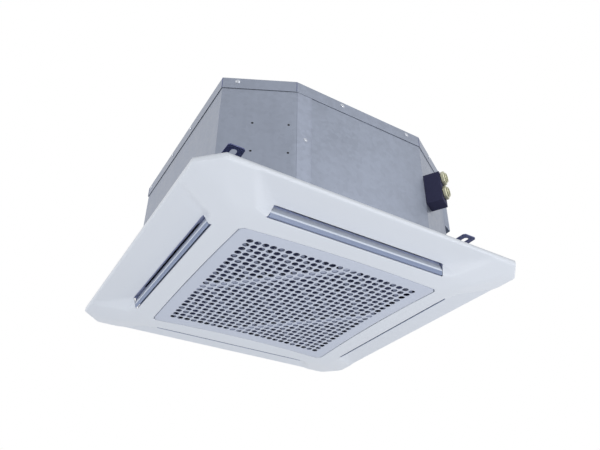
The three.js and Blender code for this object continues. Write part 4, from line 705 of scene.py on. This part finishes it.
def louvre(side):
    """A blade with a lug and a pin at each end."""
    pin_radius, pin_length, pin_start = 1.8, 9.6, 190
    lug_start, lug_end = 192.2, 194.2
    parts = [louvre_blade()]
    for sign in (-1, 1):
        pin = rod(pin_radius, 0, pin_length)
        parts.append(aimed(pin, (LOUVRE_REACH, sign * pin_start, LOUVRE_HEIGHT), (0, sign, 0)))
        y0, y1 = sorted((sign * lug_start, sign * lug_end))
        parts.append(bar(LOUVRE_REACH - 1.7, LOUVRE_REACH + 3.4, y0, y1,
                         LOUVRE_HEIGHT - 2.5, LOUVRE_HEIGHT + 5.5))
    return quarter(together(parts), side)


for number, name in enumerate(SIDES):
    blade = piece(f"louvre_{name}_blade", louvre(number), louvre_plastic, f"louvre_{name}_body", sharp=40)
    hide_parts(f"louvre_{name}")


# ---------------------------------------------------------------- intake grille

def hole_field():
    """Plate between the holes, cell by cell of a square grid.

    Rings run from the cell's edge to the round hole, up its chamfer and wall, and back out to the cell's
    edge behind.
    """
    along = np.linspace(-0.5, 0.5, CELL_STEPS + 1)[:-1]
    square = four_ways(np.column_stack([np.full(CELL_STEPS, 0.5), along]))
    angle = np.arctan2(square[:, 1], square[:, 0])
    circle = np.column_stack([np.cos(angle), np.sin(angle)])
    rings = [(square * PITCH, 0.0), (circle * (HOLE + 0.4), 0.0), (circle * (HOLE + 0.12), 0.1),
             (circle * HOLE, 0.3), (circle * HOLE, 0.8), (circle * (HOLE + 1.2), PLATE),
             (square * PITCH, PLATE)]
    cell = np.array([np.column_stack([ring, np.full(len(ring), level)]) for ring, level in rings])
    places = (np.arange(HOLES) - (HOLES - 1) / 2) * PITCH
    return together([patch(cell + np.array([x, y, 0.0]), wrap_v=True) for x in places for y in places])


def rounded(reach, radius, stations):
    """A square of given reach with round corners; a station past the straight part goes onto the arc."""
    place = stations * reach
    flat = reach - radius
    over = np.maximum(0, np.abs(place) - flat)
    angle = over / radius * (math.pi / 4)
    x = np.where(over > 0, flat + radius * np.cos(angle), reach)
    y = np.where(over > 0, np.sign(place) * (flat + radius * np.sin(angle)), place)
    return four_ways(np.column_stack([x, y]))


def grille_border():
    """The border round the hole field: rings out to the edge, up the rim, over it and back inside.

    The profile gives each ring's distance in from the edge, the radius of its corners and its height.
    """
    field = GRILLE - HOLES * PITCH / 2
    between, wall = 15.2, 2.8
    square, bend, inside, outside = 0.001, 5, 11.6, 13
    stations = np.linspace(-1, 1, HOLES * CELL_STEPS + 1)[:-1]
    profile = [(field, square, 0), (between, bend, 0), (3.0, inside, 0), (1.2, 12.6, 0.3),
               (0.3, outside, 1.0), (0, outside, 2.0), (0, outside, 6), (0, outside, RIM_TOP - 1.2),
               (0.3, outside, RIM_TOP - 0.3), (1.0, 12.6, RIM_TOP), (2.0, 12, RIM_TOP),
               (wall - 0.1, inside, RIM_TOP - 0.5), (wall, inside, 7), (wall, inside, PLATE),
               (between, bend, PLATE), (field, square, PLATE)]
    rings = []
    for inward, radius, level in profile:
        ring = rounded(GRILLE - inward, radius, stations)
        rings.append(np.column_stack([ring, np.full(len(ring), float(level))]))
    return patch(np.array(rings), wrap_v=True)


def stiffening_rib(x):
    """An upright rib on the back of the plate, from within the dished plate to the rim's top."""
    half_width, root, half_length, count = 0.8, 1.4, 222, 33
    stations = np.linspace(-half_length, half_length, count)
    low = root + dish(x, stations)
    corners = np.array([(-half_width, 0), (half_width, 0), (half_width, 1), (-half_width, 1)])
    grid = np.empty((count, 4, 3))
    grid[:, :, 0] = x + corners[:, 0]
    grid[:, :, 1] = stations[:, None]
    grid[:, :, 2] = low[:, None] + corners[:, 1] * (RIM_TOP - low[:, None])
    points, quads = patch(grid, wrap_v=True)
    return points, quads + [np.array([[3, 2, 1, 0], np.arange(4) + 4 * (count - 1)])]


def grille():
    """The whole intake grille, dished: what lies below the rim's top rises by the dish, less near the top."""
    points, faces = together([hole_field(), grille_border()])
    share = np.clip((RIM_TOP - points[:, 2]) / (RIM_TOP - PLATE), 0, 1)
    points[:, 2] += dish(points[:, 0], points[:, 1]) * share
    parts = [(points, faces)]
    for column in (2, 5, 8, 11):
        parts += [stiffening_rib(sign * column * PITCH) for sign in (-1, 1)]
    pin_radius, pin_length, pin_sunk = 2, 5, 1.6
    for sign in (-1, 1):
        place = (sign * (GRILLE - pin_sunk), HINGE_BACK, HINGE_HEIGHT)
        parts.append(aimed(rod(pin_radius, 0, pin_length), place, (sign, 0, 0)))
    return together(parts)


intake = piece("intake_grille_plate", grille(), grille_plastic, INTAKE, sharp=40)
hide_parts("intake_grille")


# ---------------------------------------------------------------- casing

CORNERS = [(CUT_LEFT, -CASING), (CUT_RIGHT, -CASING), (CASING, -CUT_SIDE), (CASING, CUT_SIDE),
           (CUT_RIGHT, CASING), (CUT_LEFT, CASING), (-CASING, CUT_SIDE), (-CASING, -CUT_SIDE)]
NEAR_WALL, PIPE_WALL, PILOT_WALL = 0, 1, 7


def on_wall(wall, along, height, depth=0.0):
    """A place on one of the eight walls, counted from the near one anticlockwise, and its outward way."""
    start = np.array(CORNERS[wall])
    end = np.array(CORNERS[(wall + 1) % 8])
    way = (end - start) / np.linalg.norm(end - start)
    out = np.array([way[1], -way[0]])
    x, y = start + way * along + out * depth
    return (x, y, height), (out[0], out[1], 0)


def pan_head(radius=4.2, height=1.7):
    """A pan head screw: a flat-topped dome on a small washer, with its recess left as a dimple."""
    r, h = radius, height
    return lathe([(0, -0.3), (r * 1.25, -0.3), (r * 1.25, 0.35), (r, 0.4), (r, h * 0.6), (r * 0.9, h * 0.85),
                  (r * 0.7, h), (r * 0.32, h), (r * 0.25, h * 0.45), (0, h * 0.4)], 20)


def casing_screws():
    """Screws along the lid's rim, in the pump's cover, down the near seam and on the lid."""
    rim = [(0, 112), (0, 285), (1, 68), (2, 110), (2, 330), (3, 68), (4, 60), (4, 260), (5, 76), (6, 19),
           (6, 165), (6, 273), (7, 31)]
    parts = [aimed(pan_head(), *on_wall(wall, along, RIM_SCREWS)) for wall, along in rim]
    for height in (186.0, 254.0):
        for y in (-211.0, -121.0):
            parts.append(aimed(pan_head(3.0, 1.2), (PUMP_FACE, y, height), (1, 0, 0)))
    for height in (201, 96):
        parts.append(aimed(pan_head(3.4, 1.4), *on_wall(NEAR_WALL, 21.5, height, -0.9)))
    circle = 71
    for degrees in (45, 135, 225, 315):
        angle = math.radians(degrees)
        place = (circle * math.cos(angle), circle * math.sin(angle), LID_TOP)
        parts.append(aimed(pan_head(4.5, 1.8), place, (0, 0, 1)))
    return together(parts)


def near_seam():
    """The lap where the shell's sheet ends on itself: a strip proud of the near wall, and its folded edge."""
    low, high, left, right = 53, 319.6, CUT_LEFT + 2, -116
    inside, face, fold = -SHELL + 0.2, -SHELL - 0.7, -SHELL - 1.0
    return together([bar(left, right, face, inside, low, high),
                     bar(right - 2, right - 0.2, fold, inside, low, high)])


def lid_corners():
    """The closed notches at the corners of the lid's rim, as thin upright strips."""
    radius, low, high, sunk = 0.75, 321, 346.5, 0.15
    parts = []
    for x, y in CORNERS:
        scale = 1 - sunk / math.hypot(x, y)
        points, faces = rod(radius, low, high, 10)
        parts.append((points + (x * scale, y * scale, 0), faces))
    return together(parts)


def pilot_plugs():
    """Dark plugs in the four small holes of the near left chamfer."""
    plug = lathe([(0, -1.4), (2.5, -1.4), (2.5, -0.15), (0, -0.35)], 14)
    return together([aimed(plug, *on_wall(PILOT_WALL, along, height, -1.5))
                     for along in (66, 136.5) for height in (159, 229.5)])


piece("casing_screws", casing_screws(), screw_steel, UNIT)
piece("near_seam_strip", near_seam(), seam_steel, UNIT)
piece("lid_corner_seams", lid_corners(), hanger_steel, UNIT)
piece("chamfer_hole_plugs", pilot_plugs(), rubber, UNIT)


# ---------------------------------------------------------------- pieces dressed as they are packed

for node, material, edge in (
        ("top_cover", galvanised, 0.8), ("casing_shell", galvanised, 0.4), ("pump_cover", galvanised, 1.2),
        ("control_box", box_steel, 0.4), ("control_box_cover", box_steel, 0.3),
        ("insulation_liner", white_foam, 1.0), ("drain_pan", white_foam, 1.5),
        ("bell_mouth", grey_plastic, 0.4), ("panel_gasket", black_foam, 0.6), ("coil_fins", fins, 0.3),
        ("coil_end_near", zinc, 0.2),
        ("coil_end_right", zinc, 0.2), ("supply_header", copper, 0.4), ("return_header", copper, 0.4),
        ("pipe_block", black_foam, 1.5), ("motor_plate", zinc, 0.2), ("fan_motor", grey_plastic, 0.6),
        ("motor_shaft", zinc, 0.4), ("fan_wheel", fan_plastic, 0.4), ("fan_shroud", fan_plastic, 0.4),
        *((f"fan_blade_{k}", fan_plastic, 0.4) for k in range(1, 8)), ("drain_riser", rubber, 0.0),
        ("hub_nut", zinc, 0.5), ("drain_pump", grey_plastic, 0.5), ("pump_float", white_plastic, 0.6),
        ("drain_spout", grey_plastic, 0.5), ("cable_gland", rubber, 0.4), ("grille_catch_left", rubber, 0.5),
        ("grille_catch_right", rubber, 0.5), ("air_filter", net, 0.0), ("grille_strike_left", zinc, 0.2),
        ("grille_strike_right", zinc, 0.2)):
    dressed(node, material, edge)
for name in ("near_left", "near_right", "far_right", "far_left"):
    dressed(f"hanger_bracket_{name}", hanger_steel, 0.5)
    dressed(f"panel_screw_{name}", zinc, 0.3)
for name in SIDES:
    dressed(f"louvre_motor_{name}", grey_plastic, 0.4)


# ---------------------------------------------------------------- water unions

def union():
    """A hex nut with chamfered corners, a threaded mouth and its bore, made along +Z from its seat.

    The nut is a lathe of six sides whose corner radius shrinks at both ends. The thread's radius is a
    saw-tooth of height.
    """
    across_flats, nut_top, mouth = 27, 8, 11.4
    corner = across_flats / math.sqrt(3)
    hexagon = [(0, 0), (corner - 1.2, 0), (corner, 1.2), (corner, nut_top - 1.1), (corner - 1.3, nut_top),
               (0, nut_top)]
    root, crest, thread_pitch, start, bore = 10.1, 11, 1.3, nut_top + 0.3, 8.0
    thread = [(0, nut_top - 1), (crest, nut_top - 0.1)]
    for turns in range(2):
        low = start + turns * thread_pitch
        thread += [(root, low), (crest, low + 0.6)]
    thread += [(10.3, mouth - 0.2), (9.8, mouth), (bore + 0.1, mouth), (bore, start), (0, start)]
    return together([lathe(hexagon, 6), lathe(thread, 40)])


block_face, outward = on_wall(PIPE_WALL, 20, 0, 34.3)  # on the pipe block, 34.3 out from the wall
for name, height in (("supply_union", 191), ("return_union", 229)):
    part = aimed(union(), (block_face[0], block_face[1], height), outward)
    nut = piece(name + "_brass", part, brass, UNIT, sharp=25)
    bevelled(nut, 0.35, 40)
    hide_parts(name)


# ---------------------------------------------------------------- ribs behind the grille

def slat(across, width):
    """A flat rib on the back of the grille, along y - x = across, that follows the dish.

    Its level is the dish's height plus the plate, and its ends stop short of the rim.
    """
    count, inside_rim, root, top = 24, 221.5, PLATE + 0.05, 4.4
    half = inside_rim - width / 2 / math.sqrt(2) - abs(across) / 2
    along = np.linspace(-half, half, count)
    centre = np.column_stack([along - across / 2, along + across / 2])
    aside = np.array([-1, 1]) * width / 2 / math.sqrt(2)
    rings = []
    for edge, lift in ((centre + aside, root), (centre - aside, root), (centre - aside, top),
                       (centre + aside, top)):
        rings.append(np.column_stack([edge, dish(edge[:, 0], edge[:, 1]) + lift]))
    points, quads = patch(np.stack(rings, axis=1), wrap_v=True)
    last = 4 * (count - 1)
    return points, quads + [np.array([[3, 2, 1, 0], [last, last + 1, last + 2, last + 3]])]


def narrow_ribs():
    """Narrow ribs along one diagonal, evenly spaced in y - x."""
    spacing, width = 44.2, 7.5
    return together([slat(spacing * (k + 0.5), width) for k in range(-9, 9)])


def broad_ribs():
    """Two broad ribs along the other diagonal: slats with their X turned over."""
    width, mirror = 19, (-1, 1, 1)
    slats = [slat(across, width) for across in (-157, 157)]
    return together([(points * mirror, faces) for points, faces in slats])


piece("grille_back_ribs", narrow_ribs(), rib_plastic_painted_shade, INTAKE)
piece("grille_back_straps", broad_ribs(), strap_plastic_painted_shade, INTAKE)


# ---------------------------------------------------------------- stage, light and camera

def seen_directly(tree):
    """1 for what the camera, a reflection or glass shows, 0 for all other light."""
    path = tree.nodes.new("ShaderNodeLightPath").outputs
    seen = maths(tree, "MAXIMUM", path["Is Camera Ray"], path["Is Glossy Ray"])
    return maths(tree, "MAXIMUM", seen, path["Is Transmission Ray"])


def background(tree, colour, strength):
    """A plain light from all round."""
    node = tree.nodes.new("ShaderNodeBackground")
    node.inputs["Color"].default_value = colour
    node.inputs["Strength"].default_value = strength
    return node.outputs[0]


def lit_world():
    """A dim cool light from all round, behind a background that is seen as white."""
    world = bpy.data.worlds.new("studio")
    bpy.context.scene.world = world
    world.use_nodes = True
    tree = world.node_tree
    tree.nodes.clear()
    end = tree.nodes.new("ShaderNodeOutputWorld")
    mix = tree.nodes.new("ShaderNodeMixShader")
    tree.links.new(seen_directly(tree), mix.inputs["Fac"])
    tree.links.new(background(tree, (0.93, 0.96, 1.0, 1), 0.5), mix.inputs[1])
    tree.links.new(background(tree, (1, 1, 1, 1), 1.0), mix.inputs[2])
    tree.links.new(mix.outputs[0], end.inputs["Surface"])


def pale_floor():
    """A plain floor, in metres, well below the hanging unit."""
    material = bpy.data.materials.new("pale_floor")
    material.use_nodes = True
    shader = material.node_tree.nodes["Principled BSDF"]
    shader.inputs["Base Color"].default_value = (0.88, 0.89, 0.91, 1)
    shader.inputs["Roughness"].default_value = 0.9
    size, level = 8.0, -2.6
    corners = [(-size, -size, level), (size, -size, level), (size, size, level), (-size, size, level)]
    mesh = bpy.data.meshes.new("floor")
    mesh.from_pydata(corners, [], [(0, 1, 2, 3)])
    mesh.materials.append(material)
    floor = bpy.data.objects.new("floor", mesh)
    bpy.context.scene.collection.objects.link(floor)


def staged(name, data, axes, place):
    """A lamp or camera at a place in metres, its own axes along three directions."""
    obj = bpy.data.objects.new(name, data)
    bpy.context.scene.collection.objects.link(obj)
    matrix = Matrix(np.column_stack(axes).tolist()).to_4x4()
    matrix.translation = place
    obj.matrix_world = matrix
    return obj


def soft_lamp(name, place, target, size, power):
    """A round lamp at a place, aimed at a target, in metres and watts."""
    light = bpy.data.lights.new(name, "AREA")
    light.shape = "DISK"
    light.size = size
    light.energy = power
    staged(name, light, axes_along(np.subtract(place, target)), place)


def photo_camera():
    """The camera found from the photograph: its place, heading, rise and tilt, in metres and radians."""
    place = (-0.59441, -1.04877, -0.58645)
    heading, rise, tilt = 0.5365, 0.5849, 0.0110
    focal_pixels, photo_width, sensor = 610.06, 600, 36
    ahead = np.array([math.sin(heading) * math.cos(rise), math.cos(heading) * math.cos(rise),
                      math.sin(rise)])
    right = np.array([math.cos(heading), -math.sin(heading), 0])
    above = np.cross(right, ahead)
    x = math.cos(tilt) * right + math.sin(tilt) * above
    y = -math.sin(tilt) * right + math.cos(tilt) * above
    data = bpy.data.cameras.new("camera")
    data.sensor_width = sensor
    data.lens = sensor * focal_pixels / photo_width
    data.clip_start = 0.01
    bpy.context.scene.camera = staged("camera", data, (x, y, -ahead), place)


lit_world()
pale_floor()
soft_lamp("left_window", (-2.6, 0.3, 0.1), (0, 0, 0.1), 1.6, 20)
soft_lamp("near_window", (0.55, -2.7, 0.5), (0, 0, 0.15), 1.6, 22)
soft_lamp("light_from_below", (0.2, -1.0, -2.2), (0, 0, 0), 2.4, 28)
soft_lamp("low_right_window", (2.3, -0.2, -1.1), (0, 0, 0.05), 1.4, 3.5)
photo_camera()
bpy.context.scene.view_settings.view_transform = "Standard"
